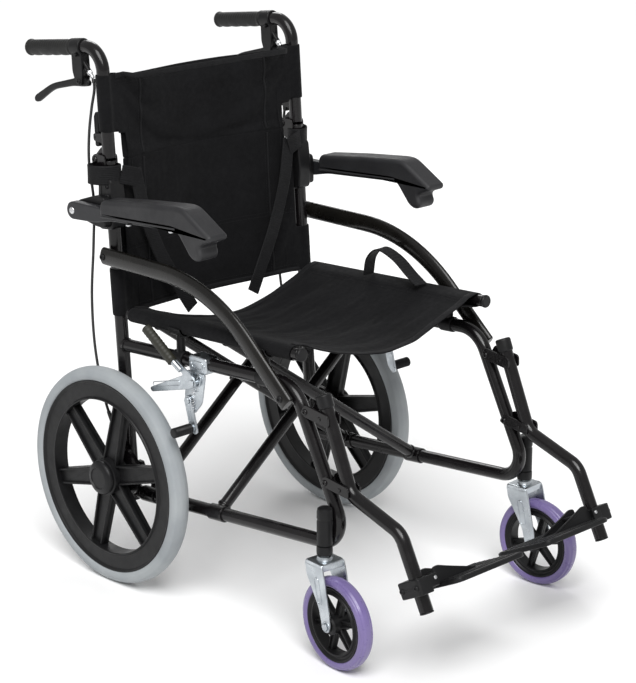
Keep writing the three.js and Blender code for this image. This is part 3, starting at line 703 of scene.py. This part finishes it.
def caster_fork():
    legs = [prism(FORK_OUTLINE, x, x + 3, 7, 0.9) for x in (-23.5, 20.5)]
    crown = [(-23.5, 160), (23.5, 160), (23.5, 172), (-23.5, 172)]
    bridge = prism(crown, -20, 20, 6, 1.5, "xzy")
    inside = lathe([(0, 165), (13, 165), (14.5, 169), (12, 173), (11, 177), (0, 177)], 40, axis="z")
    slots = [ribbon(racetrack(-12, 128, 5, 21, 0.24), x) for x in (-23.6, 23.6)]
    feet = [ribbon(racetrack(CASTER_TRAIL, CASTER_R, 8.5, 8.6, 0), x, 0.7) for x in (-23.6, 23.6)]
    stem = rod((0, 0, 176), (0, 0, 193), 7, 24)
    axle = rod((-24, CASTER_TRAIL, CASTER_R), (24, CASTER_TRAIL, CASTER_R), 4, 20)
    nut = moved(lathe([(6.6, -2.2), (6.6, 1.6), (5.4, 2.6), (0, 2.6)], 6),
                (24.6, CASTER_TRAIL, CASTER_R))
    head = dome_screw((-23.6, CASTER_TRAIL, CASTER_R), 6.6, 3, -1)
    return merge(*legs, bridge, inside, *slots, *feet, stem, axle, nut, head)


def caster_rows():
    centre = (0, CASTER_TRAIL, CASTER_R)
    housing = [(0, 195), (11.3, 195), (12.3, 196), (12.3, 234), (11.4, 236), (11.4, 238),
               (12.4, 239.5), (12.4, 250), (11.4, 254.5), (8, 257), (0, 257)]
    bearing = [(9.5, 179), (12.4, 180), (12.8, 184), (12.8, 190), (12.3, 194), (8, 195.5)]
    socket = merge(lathe(housing, 40, axis="z"), lathe(bearing, 40, axis="z"))
    tyre = moved(wheel_tyre(60.7, 67, CASTER_R, 12.8, 5), centre)
    rim = moved(wheel_rim((48, 60.8), 11, 15, 19, (12, 9), 5.5, 2.2), centre)
    fork, tyre, rim = (turned(shape, math.radians(CASTER_YAW), "z")
                       for shape in (caster_fork(), tyre, rim))
    return placed((CASTER_X, CASTER_Y, 0), [
        ("caster_socket", socket, "plastic", "side", "caster_housing"),
        ("fork", fork, "zinc", "caster", "caster_fork"),
        ("caster_rubber", tyre, "violet", "caster_wheel", "caster_tyre"),
        ("caster_hub", rim, "plastic", "caster_wheel", "caster_rim"),
    ])


# ---- arms ----
def arm_bar_z(y):
    return ARM_PIVOT[1] + (ARM_PIVOT[0] - y) * 0.075


def arm_bracket():
    """The moulded clamp round the back post that carries the arm's hinge pin."""
    shell = prism([(16, 640), (19, 600), (54, 596), (56, 640), (54, 684), (22, 684)],
                  FRAME_X - 14, FRAME_X + 14.2, 7, 3.2, edge_steps=4)
    lug = prism([(22, 604), (48, 604), (90, 612), (101, 620), (101, 634), (90, 642), (48, 656),
                 (24, 656)], FRAME_X + 12, ARM_X - 8.6, 8, 2.2)
    split = prism([(42, 599), (45, 599), (49, 682), (46, 682)], FRAME_X - 14.6, FRAME_X + 14.8, 0.5, 0.4)
    screws = [dome_screw((FRAME_X + 14.2, 30 + step * 0.1, 655 + step), 4) for step in (0, 16)]
    return merge(shell, lug, split, *screws)


def arm_pin():
    y, z = ARM_PIVOT
    return merge(rod((ARM_X - 12, y, z), (ARM_X + 8, y, z), 4, 24), dome_screw((ARM_X + 8, y, z), 6, 2.2))


def arm_bar():
    y, z = ARM_PIVOT
    rear = [(y + 15 * math.cos(a), z + 15 * math.sin(a))
            for a in np.linspace(-math.pi / 2, math.pi / 2, 9)]
    low, high = ([(y, arm_bar_z(y) + d) for y, d in zip((-172, -10, 30), depths)]
                 for depths in ((-9, -9, -15), (9, 9, 12)))
    return prism([*low, *rear, *reversed(high)], ARM_X - 8, ARM_X + 8, 10, 2.4)


PAD_TOP = [(2, 652), (-4, 660), (-100, 672), (-188, 681), (-204, 680), (-219, 672), (-265, 646)]
PAD_BELOW = [(-265, 638), (-246, 631), (-240, 625), (-245, 613), (-241, 604), (-230, 601),
             (-218, 606), (-186, 643), (2, 631)]


def arm_pad():
    """A self-skinned foam pad with a crowned top and a drooping nose."""
    body = prism(PAD_TOP + PAD_BELOW, ARM_X - 21.2, ARM_X + 21, 12, 7.5, edge_steps=6)
    points = body[0]
    lift = np.clip((points[:, 2] - 640) / 30, 0, 1) * 1.6
    points[:, 2] += lift * (1 - ((points[:, 0] - ARM_X) / 21) ** 2)
    return points, body[1]


def pad_lip():
    """The mould's parting ridge low on both faces of the pad; its foam is lighter than the pad's as a
    painted highlight.
    """
    return merge(*[sweep(smooth_path([(x, -2, 634), (x, -90, 640), (x, -186, 646)], 6),
                         oval(1.1, 1.6, 12), (1, 0, 0), 0.4) for x in (ARM_X - 20.9, ARM_X + 20.7)])


def arm_rows():
    screws = [dome_screw((ARM_X + 9, y, arm_bar_z(y) - 8.6), 5, 3.2, 0) for y in (-60, -164)]
    return [
        ("arm_clamp", arm_bracket(), "plastic", "side", "arm_bracket"),
        ("arm_pin", arm_pin(), "steel", "side"),
        ("arm_beam", arm_bar(), "bar", "arm", "arm_bar"),
        ("arm_cushion", arm_pad(), "pad", "arm", "arm_pad"),
        ("arm_cushion_lip", pad_lip(), "pad_rim", "arm"),
        ("arm_screws", merge(*screws), "steel", "arm"),
    ]


# ---- folding back, handles and hand brakes ----
def cane_tube():
    return tube(bent_path([(0, post_y(716), 716), (0, 53, 897.5), (0, 226, 876)], 38))


def cane_lugs():
    hook = prism([(38, 718), (38, 734), (51, 734), (66, 719), (69.5, 711), (66, 705), (60, 703.2),
                  (54.5, 706.5), (52.3, 712), (52, 718)], -8, 8, 4, 1)
    ears = [prism([(46, 741), (68, 742), (69, 754), (46, 757)], x - 1.3, x + 1.3, 4, 0.6)
            for x in (-8.2, 8.2)]
    return merge(hook, *ears)


def hinge_plates():
    cheeks = [prism([(34, 686), (52, 686), (66, 700), (70, 714), (62, 722), (36, 722)],
                    x - 1.2, x + 1.2, 7, 0.7) for x in (-12.8, 12.8)]
    heads = [dome_screw((14 * way, 61, 712), 6, 2.6, way) for way in (-1, 1)]
    return merge(*cheeks, post_bar(686, 699, 14, 1.5), *heads)


def latch():
    y = 63.5
    tongue = prism([(y - 6, 743), (y - 3, 732), (y + 5, 732), (y + 6, 748), (y + 8, 782),
                    (y + 3, 790), (y - 3, 788), (y - 4, 760)], -6, 6, 4, 1.8)
    ridges = [block((0, y + 6.3, z), (9, 1.6, 1.6), 0.5, 0.5) for z in (764, 768, 772, 776)]
    return merge(tongue, *ridges, rod((-9.8, y, 748), (9.8, y, 748), 2.4, 16))


def hand_grip():
    """A rubber sleeve with finger swells below, fine rings round it and a rolled mouth."""
    angles = 2 * math.pi * np.arange(56) / 56
    along, up = unit(vec(0, 1, -HANDLE_SLOPE)), unit(vec(0, HANDLE_SLOPE, 1))
    down, over = np.clip(-np.sin(angles), 0, 1) ** 1.5, np.clip(np.sin(angles), 0, 1)
    rings = []
    for y in np.linspace(122.5, 242.5, 150):
        rolls = 1.7 * math.exp(-((y - 126.5) / 3) ** 2) + 1.5 * math.exp(-((y - 238.5) / 3.2) ** 2)
        body = 12.5 + rolls
        if y > 238.5:
            body -= 3.4 * ((y - 238.5) / 4) ** 2.2
        middle = np.clip((y - 133) / 6, 0, 1) * np.clip((232 - y) / 6, 0, 1)
        swell = abs(math.sin(math.pi * (y - 133) / 24.5)) ** 0.7 * middle
        rib = 0.4 * math.sin(2 * math.pi * y / 6.1) * middle
        radius = body + 1.3 * swell * down + rib * over
        rings.append(vec(0, 53, 897.5) + along * (y - 53)
                     + np.outer(radius * np.cos(angles), vec(1, 0, 0))
                     + np.outer(radius * np.sin(angles), up))
    return rings_to_shape(rings)


def lever_clamp():
    collar = rod((0, 97, grip_z(97)), (0, 121.8, grip_z(121.8)), 14.4, 40, 2)
    cheeks = [prism([(96, 884), (93, 850), (97, 828), (110, 828), (119, 850), (121, 884)],
                    x - 2, x + 2, 5, 1) for x in (-7, 7)]
    web = block((0, 99, 868), (12, 6, 26), 1.2, 2)
    barrel = rod((0, 101, 868), (0, 85, 852), 4.4, 24)
    bolt = rod((-15, 105, 879), (15, 105, 879), 3, 20)
    return merge(collar, *cheeks, web, barrel, dome_screw((9, *LEVER_PIVOT), 4.6, 2.2), bolt)


def lever_adjuster():
    nut = rod((0, 86, 853), (0, 82, 849), 4.6, 6, 0.5)
    return merge(nut, rod((0, 82, 849), (0, 76, 843), 3.3, 20, 0.6))


def brake_lever():
    y, z = LEVER_PIVOT
    outline = [(y - 19, z - 6), (y - 4, z - 9), (y + 22, z - 11), (y + 76, z - 24), (y + 118, z - 51),
               (y + 126, z - 51), (y + 128, z - 44), (y + 124, z - 39), (y + 80, z - 14),
               (y + 24, z + 1), (y + 6, z + 7), (y - 5, z + 7), (y - 19, z + 2)]
    return prism(outline, -4.5, 4.5, 14, 3.2, edge_steps=5)


CABLE_ROUTE = [(0, 74.8, 841.8), (3, 70, 826), (9, 71, 796), (10.5, 78, 750), (9, 82, 700),
               (5, 78, 640), (2, 86, 560), (4, 92, 470), (8, 82, 380), (16, 50, 300),
               (19.5, 26, 262)]


def brake_cable():
    route = smooth_path(CABLE_ROUTE, 12)
    return merge(tube(route, 2.4, 14, edge=0.4), rod(route[0], route[5], 3.4, 16),
                 rod(route[-8], route[-1], 3.4, 16))


def back_rows():
    return placed((FRAME_X, 0, 0), [
        ("cane_tube", cane_tube(), "paint", "back", "back_cane"),
        ("cane_lugs", cane_lugs(), "paint", "back"),
        ("hinge_plates", hinge_plates(), "paint", "side", "fold_hinge"),
        ("latch_tongue", latch(), "plastic", "latch", "fold_latch"),
        ("grip_sleeve", hand_grip(), "grip", "back", "handgrip"),
        ("lever_clamp", lever_clamp(), "plastic", "back", "lever_bracket"),
        ("lever_adjuster", lever_adjuster(), "steel", "back"),
        ("hand_lever", brake_lever(), "plastic", "lever", "brake_lever"),
        ("cable_housing", brake_cable(), "cable", None, "brake_cable"),
    ])


# ---- foot plates ----
def rectangle(x0, x1, y0, y1):
    return [(x0, y0), (x1, y0), (x1, y1), (x0, y1)]


def foot_board():
    board = prism(rectangle(-182, -29, -60, 60), -12, -4.8, 16, 1.6, "xyz")
    rim = prism(rectangle(-180, -31, -58, 58), -5.6, -4, 15, 0.7, "xyz")
    treads = [prism(rectangle(-172, -132 if abs(y) < 20 else -44, y - 2.1, y + 2.1), -4.6, -2.9, 2,
                    0.8, "xyz") for y in range(-44, 45, 11)]
    knuckle = rod((PIN_X, -16, PIN_Z), (PIN_X, 16, PIN_Z), 6.2, 28)
    rib = [(-122, -5), (-60, 14), (-36, 22), (-26, 20), (-26, 12), (-18, 11), (-18, 1), (-30, -6)]
    ribs = [prism(rib, y - 2.3, y + 2.3, 6, 1, "xzy") for y in (-14.4, 14.4)]
    bridge = prism(rectangle(-60, -33, -14, 14), 7, 12, 3, 1, "xyz")
    return merge(board, rim, *treads, knuckle, *ribs, bridge)


def foot_clamp():
    body = prism(rectangle(-11, 19, -24, 24), -13, 13, 7, 2.2, "xyz", 4)
    ears = [block((-14.5, way * 20.5, 3), (19, 7, 20), 1.6, 4) for way in (-1, 1)]
    screws = [dome_screw((19, way * 16, 0), 4.6) for way in (-1, 1)]
    return merge(body, *ears, block((19.2, 0, 0), (1.2, 40, 2.4), 0.4, 0.6), *screws)


def foot_rows():
    pins = [rod((PIN_X, way * 16, PIN_Z), (PIN_X, way * 25.5, PIN_Z), 3, 16) for way in (-1, 1)]
    return placed((LEG_X, FOOT_Y, FOOT_Z), [
        ("foot_board", foot_board(), "plastic", "foot", "footplate"),
        ("foot_clamp_block", foot_clamp(), "plastic", "side", "footplate_clamp"),
        ("foot_pins", merge(*pins), "steel", "side"),
    ], -FOOT_TILT)


# ---- parking brakes ----
def parking_clamp():
    rail = upper_rail_z(PARK_Y)
    band = block((0, PARK_Y, rail), (28, 42, 28), 2.6, 7)
    plate = prism([(-206, rail - 12), (-160, rail - 12), (-156, 352), (-164, 333), (-178, 330),
                   (-197, 352)], 13, 17, 7, 1)
    slot = ribbon(racetrack(-189, rail - 30, 4.2, 14, -0.3), 17.2)
    rim = ribbon(racetrack(PARK_Y, rail, 6, 13, math.pi / 2), 14.2)
    screws = [dome_screw((14, PARK_Y + step, rail), 3.6, 1.8) for step in (-15, 15)]
    pins = [merge(rod((14, y, z), (reach, y, z), 3.5, 20),
                  rod((washer - 1.6, y, z), (washer, y, z), 5.8, 24, 0.6))
            for y, z, reach, washer in ((PARK_Y, PARK_Z, 28, 29), (SHOE_Y, SHOE_Z, 22.5, 24))]
    return merge(band, plate, slot, rim, *screws, *pins)


def parking_handle():
    y, z, inner = PARK_Y, PARK_Z, 23.2
    crank = prism([(y - 9, z - 2), (y + 2, z - 10), (y + 100, z - 37), (y + 104, z - 30),
                   (y + 20, z + 10), (y + 52, z + 26), (y + 46, z + 36), (y - 4, z + 10)],
                  inner, inner + 3.5, 6, 0.9)
    rib = ribbon(racetrack(y + 62, z - 14, 4, 34, 1.83), inner + 3.6, 0.8)
    return merge(crank, rib, rod((inner + 5, y + 24, z + 17), (inner + 7.5, y + 44, z + 31), 5, 20))


def parking_grip():
    start, end = vec(30.7, PARK_Y + 40, PARK_Z + 28), vec(30.7, PARK_Y + 106, PARK_Z + 72)
    stations = np.linspace(0, 1, 40)
    waves = 2 * math.pi * np.linalg.norm(end - start) / 7
    return sweep(start + np.outer(stations, end - start), oval(8.4, 8.4, 28), (1, 0, 0), 2.8,
                 1 + 0.04 * np.sin(waves * stations))


def parking_shoe():
    y, z, inner = SHOE_Y, SHOE_Z, 17.5
    arm = prism([(y - 8, z + 3), (y - 2, z + 9), (y + 6, z + 7), (y + 7, z - 4), (y - 4, z - 44),
                 (y - 16, z - 55), (y - 22, z - 50)], inner, inner + 4.5, 6, 1)
    bead = ribbon(racetrack(y - 3, z - 20, 3, 15, 0.2), inner + 4.6, 0.7)
    return merge(arm, bead, rod((inner + 2, y - 10, z - 44), (inner + 43, y - 10, z - 44), 6.4, 28, 1))


def shoe_knurl():
    rings = [(8.5 if k % 2 else 7.4, 7 + k * 1.9) for k in range(20)]
    return moved(lathe([(6.2, 7), *rings, (6, 45)], 32), (17.5, SHOE_Y - 10, SHOE_Z - 44))


def parking_spring():
    start, end, turns = vec(19, -181, 377), vec(19, -178, 338), 9
    path = [start + (end - start) * t + 2.6 * vec(math.cos(2 * math.pi * turns * t),
                                                  math.sin(2 * math.pi * turns * t), 0)
            for t in np.linspace(0, 1, turns * 14)]
    return sweep(path, oval(0.6, 0.6, 8), (1, 0, 0), 0.2)


def parking_rows():
    return placed((FRAME_X, 0, 0), [
        ("park_clamp", parking_clamp(), "zinc", "side", "parking_clamp"),
        ("park_spring", parking_spring(), "steel", "side"),
        ("park_crank", parking_handle(), "zinc", "park_handle", "parking_handle"),
        ("park_grip", parking_grip(), "olive", "park_handle"),
        ("park_arm", parking_shoe(), "zinc", "park_shoe", "parking_shoe"),
        ("park_knurl", shoe_knurl(), "plastic", "park_shoe"),
    ])


def build_side(name, side):
    made = {}
    for piece, shape, look, body, *nodes in SIDE_ROWS:
        made[piece] = add_piece(f"{name}_{piece}", shape, look, body and f"{name}_{body}",
                                f"{name}_{nodes[0]}" if nodes else None, side)
    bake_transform(made["cable_housing"], f"{name}_side", f"{name}_back",
             start=row((side * FRAME_X, 80, 600)), end=row((side * FRAME_X, 75, 800)))


# ---- scissor braces, drawn square to the lower rails ----
def to_fold_frame(y, z):
    dy, dz = y - RAIL_REAR_Y, z - RAIL_REAR_Z
    c, s = math.cos(RAIL_SLOPE), math.sin(RAIL_SLOPE)
    return dy * c - dz * s, dy * s + dz * c


def seat_rail_ends():
    return to_fold_frame(-4, seat_rail_z(-4)), to_fold_frame(-408, seat_rail_z(-408))


def seat_rail_height(station):
    rear, front = seat_rail_ends()
    return rear[1] + (front[1] - rear[1]) * (station - rear[0]) / (front[0] - rear[0])


def from_fold_frame(shape):
    return moved(turned(shape, -RAIL_SLOPE, "x"), (0, RAIL_REAR_Y, RAIL_REAR_Z))


def brace_tubes(low_side, stations, partners):
    """Two cross tubes with the seat rail on top; the steel parts of one half of the scissor."""
    seat_x = -low_side * FRAME_X
    rear, front = seat_rail_ends()
    parts = [rod((seat_x, *rear), (seat_x, *front), SEAT_RAIL_R)]
    for y, partner in zip(stations, partners):
        low, high = vec(low_side * FRAME_X, y, 0), vec(seat_x, y, seat_rail_height(y))
        parts.append(rod(low, high, BRACE_R))
        lean = unit(high - low)
        for centre, reach, way in ((low, 13.6, lean), (high, SEAT_RAIL_R + 0.4, -lean)):
            parts.append(rod(centre + way * reach, centre + way * (reach + 5), BRACE_R + 1.7, 32, 1.6))
        middle = (low + high) / 2
        toward = np.sign(partner - y)
        parts.append(rod(middle - vec(0, toward * 12.5, 0), middle + vec(0, toward * 16, 0), 5, 24))
        nut = lathe([(7.5, 0), (7.5, 5), (6, 6.5), (0, 6.5)], 6)
        parts.append(moved(turned(nut, -toward * math.pi / 2, "z"), middle - vec(0, toward * 10, 0)))
    return from_fold_frame(merge(*parts))


def brace_sleeves(low_side, stations):
    """The short tubes that turn on the lower rail."""
    x = low_side * FRAME_X
    return from_fold_frame(merge(*[rod((x, y - 17, 0), (x, y + 17, 0), 13.4, 36, 1) for y in stations]))


def rail_plugs(low_side):
    seat_x = -low_side * FRAME_X
    rear, front = seat_rail_ends()
    plugs = [rod((seat_x, y, z), (seat_x, y + length, z), radius, 32, edge)
             for (y, z), length, radius, edge in ((rear, 2.2, 9.6, 1), (front, -7, 10.9, 3))]
    return from_fold_frame(merge(*plugs))


def build_braces():
    for name, low_side, stations, partners in (("brace_a", -1, CROSS_A, CROSS_B),
                                               ("brace_b", 1, CROSS_B, CROSS_A)):
        add_piece(f"{name}_tubes", brace_tubes(low_side, stations, partners), "paint", name, name)
        add_piece(f"{name}_sleeves", brace_sleeves(low_side, stations), "paint", name)
        add_piece(f"{name}_rail_plugs", rail_plugs(low_side), "plastic", name)


# ---- cloth ----
def seat_drop(x):
    return SEAT_SAG * max(0.0, math.cos(math.pi * x / (2 * FRAME_X))) ** 1.4


def back_belly(x):
    return BACK_BELLY * math.cos(math.pi * x / (2 * FRAME_X)) ** 2 - 6


def even(points, spacing):
    """The same polyline with stations a given spacing apart."""
    points = np.asarray(points, dtype=float)
    lengths = np.concatenate([[0], np.cumsum(np.linalg.norm(np.diff(points, axis=0), axis=1))])
    stations = np.linspace(0, lengths[-1], max(2, round(lengths[-1] / spacing)) + 1)
    return np.stack([np.interp(stations, lengths, points[:, i]) for i in range(points.shape[1])], axis=1)


def sleeved_section(panel, radius, inboard):
    """(x, offset) points of a cloth that spans the chair and returns round a tube at each side.

    panel(x) is the offset of the span from the tubes' plane on the side that it lies.
    """
    span = [(x, panel(x)) for x in np.linspace(0, FRAME_X - 10, 40)]
    wrap = [(FRAME_X + abs(radius) * math.sin(a), radius * math.cos(a))
            for a in np.linspace(0, math.pi, 14)]
    hem = [(FRAME_X - inboard * 0.4, -radius * 0.8), (FRAME_X - inboard, panel(FRAME_X - inboard) - 2.2)]
    half = span + wrap + hem
    return even([(-x, offset) for x, offset in reversed(half[1:])] + half, GRID)


def grid_shape(grid):
    """A sheet from a grid of points, rows by columns."""
    rows, columns = grid.shape[:2]
    faces = [(i * columns + j, i * columns + j + 1, (i + 1) * columns + j + 1, (i + 1) * columns + j)
             for i in range(rows - 1) for j in range(columns - 1)]
    return grid.reshape(-1, 3), faces


def seat_point(x, y, offset):
    """A point over the seat rails' plane, offset square to it."""
    return vec(x, y, seat_rail_z(y) + offset)


def back_point(x, z, offset):
    """A point behind (negative: before) the back posts' plane."""
    return vec(x, post_y(z) + offset, z)


def creases(points, strength, reach):
    """Soft tension folds that die out towards the sleeves."""
    return [strength * max(0.0, 1 - (x / reach) ** 4)
            * noise.fractal(Vector((x * 0.006, y * 0.02, z * 0.02)), 0.9, 2.0, 4) for x, y, z in points]


def settle(piece, held, cap, load):
    """Lets the cloth hang from its held points for 20 frames and keeps the folds, up to a cap."""
    scene = bpy.context.scene
    group = piece.vertex_groups.new(name="held")
    group.add([int(i) for i in np.nonzero(held)[0]], 1.0, "REPLACE")
    start = np.array([v.co[:] for v in piece.data.vertices])
    cloth = piece.modifiers.new("cloth", "CLOTH")
    for name, value in dict(quality=7, mass=0.35, tension_stiffness=18, compression_stiffness=18,
                            shear_stiffness=6, bending_stiffness=0.35, shrink_min=-0.012,
                            vertex_group_mass="held").items():
        setattr(cloth.settings, name, value)
    cloth.settings.effector_weights.gravity = load
    cloth.collision_settings.use_self_collision = False
    cloth.point_cache.frame_end = 20
    for step in range(1, 21):
        scene.frame_set(step)
    hung = piece.evaluated_get(bpy.context.evaluated_depsgraph_get()).to_mesh()
    shift = np.array([v.co[:] for v in hung.vertices]) - start
    piece.modifiers.remove(cloth)
    piece.vertex_groups.remove(group)
    scene.frame_set(1)
    length = np.linalg.norm(shift, axis=1)
    limit = cap / 1000
    shift *= (limit * np.tanh(length / limit) / np.maximum(length, 1e-9))[:, None]
    piece.data.vertices.foreach_set("co", (start + shift).astype(np.float32).ravel())
    piece.data.update()


def thicken(piece):
    solid = piece.modifiers.new("thickness", "SOLIDIFY")
    solid.thickness = CLOTH / 1000
    solid.offset = 0
    finer = piece.modifiers.new("finer", "SUBSURF")
    finer.levels = finer.render_levels = 1


def stitches(path):
    """A row of thread stitches along a path, 3.4 mm long and 5 mm apart."""
    fine = even(path, 0.5)
    threads = []
    for i in range(0, len(fine) - 7, 10):
        bar = fine[[i, i + 3, i + 6]]
        if np.linalg.norm(bar[2] - bar[0]) > 1:
            threads.append(sweep(bar, oval(0.5, 0.5, 6), (0.3, 0.5, 0.8), 0.15))
    return merge(*threads)


def on_sheet(piece, way):
    """A lookup of the sheet's surface from one side, so that seams lie on the cloth as it settled."""
    tree = BVHTree.FromObject(piece, bpy.context.evaluated_depsgraph_get())

    def snap(points, lift):
        found = []
        for p in points:
            hit = tree.ray_cast(Vector(row(p)) + Vector(way) * 0.05, -Vector(way), 0.1)[0]
            place = p if hit is None else np.array(hit) * 1000 - vec(0, AXLE_Y, 0)
            found.append(place + vec(*way) * lift)
        return np.array(found)
    return snap


def build_seat():
    section = sleeved_section(lambda x: SLEEVE_R - seat_drop(x), SLEEVE_R, 40)
    stations = np.linspace(SEAT_REAR_Y, SEAT_FRONT_Y, 76)
    shape = grid_shape(np.array([[seat_point(x, y, offset) for x, offset in section] for y in stations]))
    shape[0][:, 2] += creases(shape[0], 4.2, FRAME_X - 22)
    seat = add_piece("seat_cloth", shape, "nylon", None, "seat_sling")
    settle(seat, np.abs(shape[0][:, 0]) > HELD_X, 5, 0.6)
    thicken(seat)
    snap = on_sheet(seat, (0, 0, 1))
    xs = np.linspace(-FRAME_X + 4, FRAME_X - 4, 90)
    ys = np.linspace(SEAT_REAR_Y - 8, SEAT_FRONT_Y + 8, 90)

    def ends_of_sheet(inset, lift):
        return [snap([seat_point(x, y, 0) for x in xs], lift)
                for y in (SEAT_FRONT_Y + inset, SEAT_REAR_Y - inset)]

    bands = [sweep(path, oval(6.2, 1.5, 20), (0, 1, 0), 1) for path in ends_of_sheet(6, 0.6)]
    binding = add_piece("seat_binding", merge(*bands), "piping", None)
    rows = ends_of_sheet(14, 0.1) + [snap([seat_point(way * (FRAME_X - inset), y, 0) for y in ys], 0.1)
                                     for way in (-1, 1) for inset in (36, 30)]
    threads = add_piece("seat_stitches", merge(*[stitches(r) for r in rows]), "thread", None)
    for piece in (seat, binding, threads):
        row((60, -200, 440))
        row((-60, -200, 440))
        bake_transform(piece)


def squash_across(piece, side=-1):
    """Gives a cloth a mesh of its own."""
    row((side * FRAME_X, 0, 600))
    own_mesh(piece)


def back_sheet(low, high, sleeve, section):
    """The grid of a back cloth, open at the post where its sleeve is cut away."""
    stations = np.linspace(low, high, max(12, round((high - low) / 5.2)))
    points, faces = grid_shape(np.array([[back_point(x, z, offset) for x, offset in section]
                                         for z in stations]))
    kept = []
    for face in faces:
        x, _, z = points[list(face)].mean(axis=0)
        notch = FRAME_X - (32 if NOTCH_LOW < z < NOTCH_HIGH else 17)
        if sleeve[0] <= z <= sleeve[1] or abs(x) <= notch:
            kept.append(face)
    points[:, 1] += creases(points, 3.2, FRAME_X - 24)
    used = sorted({i for face in kept for i in face})
    order = {old: new for new, old in enumerate(used)}
    return points[used], [tuple(order[i] for i in face) for face in kept]


def build_back_cloth(name, low, high, sleeve, stands_for, body, binding, seams):
    """One height of back cloth, with a binding (height, radius) and seams across at some heights."""
    section = sleeved_section(back_belly, -POST_SLEEVE_R, 44)
    shape = back_sheet(low, high, sleeve, section)
    cloth = add_piece(name, shape, "nylon", body, stands_for)
    at_edge = np.abs(shape[0][:, 2] - BACK_SPLIT) < 7
    settle(cloth, (np.abs(shape[0][:, 0]) > HELD_X) | at_edge, 4, 0.5)
    thicken(cloth)
    snap = on_sheet(cloth, (0, -1, 0))
    xs = np.linspace(-FRAME_X + 18, FRAME_X - 18, 80)
    zs = np.linspace(low + 4, high - 4, max(20, round((high - low) / 6)))

    def across(z, lift):
        return snap([back_point(x, z, -30) for x in xs], lift)

    def upright(x, lift):
        return snap([back_point(x, z, -30) for z in zs], lift)

    extras = [sweep(across(binding[0], 0.3), oval(1.7, binding[1], 16), (0, 1, 0), 1)]
    extras += [sweep(upright(x, 0.5), oval(1.9, 1.9, 14), (1, 0, 0), 0.8) for x in (-PIPING_X, PIPING_X)]
    rows = [upright(x + step, 0.1) for x in (-PIPING_X, PIPING_X) for step in (-5, 5)]
    rows += [across(z, 0.1) for z in seams]
    piping = add_piece(f"{name}_piping", merge(*extras), "piping", body)
    threads = add_piece(f"{name}_stitches", merge(*[stitches(r) for r in rows]), "thread", body)
    for piece in (cloth, piping, threads):
        squash_across(piece)


def build_back_cloths():
    build_back_cloth("back_cloth_top", BACK_SPLIT - 0.5, BACK_HIGH, (760, BACK_HIGH), "back_upper",
                     "right_back", (BACK_HIGH - 3, 4.5), (BACK_HIGH - 12, BACK_HIGH - 17))
    build_back_cloth("back_cloth_low", BACK_LOW, BACK_SPLIT + 0.5, (BACK_LOW, 534), "back_lower",
                     "right_side", (BACK_LOW + 3, 4), (BACK_LOW + 12, 560, 566))


def strap(path, across, width=BELT_WIDTH, thickness=BELT_THICK):
    """Flat webbing with softly rounded edges and a selvedge ridge along each side."""
    half, thick = width / 2, thickness / 2
    top = [(half, 0), (half - 0.5, thick * 0.8), (half - 2, thick * 1.1), (half - 4, thick * 0.85),
           (half * 0.5, thick * 0.8), (0, thick * 0.8)]
    upper = top + [(-x, z) for x, z in reversed(top[:-1])]
    outline = upper + [(x, -z) for x, z in reversed(upper[1:-1])]
    return sweep(path, outline, across, 0.6)


def belt_anchor():
    """A loop of webbing round the back post, with the tail that joins the strap."""
    middle = vec(FRAME_X + 7, post_y(690) + 7, 690)
    long, short = 27 * vec(0.707, 0.707, 0), 17.5 * vec(-0.707, 0.707, 0)
    around = [middle + math.cos(a) * long + math.sin(a) * short for a in np.linspace(0, 2 * math.pi, 49)]
    tail = smooth_path([(FRAME_X - 8, 21, 690), (FRAME_X - 24, 18, 686), (172, 17, 680)], 6)
    return merge(strap(around, (0, 0, 1), 32, 2), strap(tail, (0, 0, 1), 32, 2))


def build_belts():
    lap = smooth_path([(175, 20, 694), (160, 16, 622), (131, 12, 545), (94, 6, 480), (70, 2, 440)], 12)
    for name, side in SIDES:
        belt = add_piece(f"{name}_lap_belt", strap(lap, (math.cos(0.3), 0, math.sin(0.3))), "webbing",
                         f"{name}_side", f"{name}_belt_strap", side)
        squash_across(belt, side)
        add_piece(f"{name}_belt_anchor", belt_anchor(), "webbing", f"{name}_side", side=side)
    loop = smooth_path([(194, -158, 480), (194, -165, 512), (193, -188, 531), (192, -227, 522),
                        (189, -265, 500), (186, -290, 488)], 10)
    add_piece("lap_belt_loop", strap(loop, (1, 0, 0)), "webbing", "left_side", "belt_loop")


# ---- assembly ----
add_camera()
add_stage()
FINISHES = make_finishes()
SIDE_ROWS = [*frame_rows(), *wheel_rows(), *caster_rows(), *arm_rows(), *back_rows(), *foot_rows(),
             *parking_rows()]
for side_name, side_way in SIDES:
    build_side(side_name, side_way)
build_braces()
build_seat()
build_back_cloths()
build_belts()
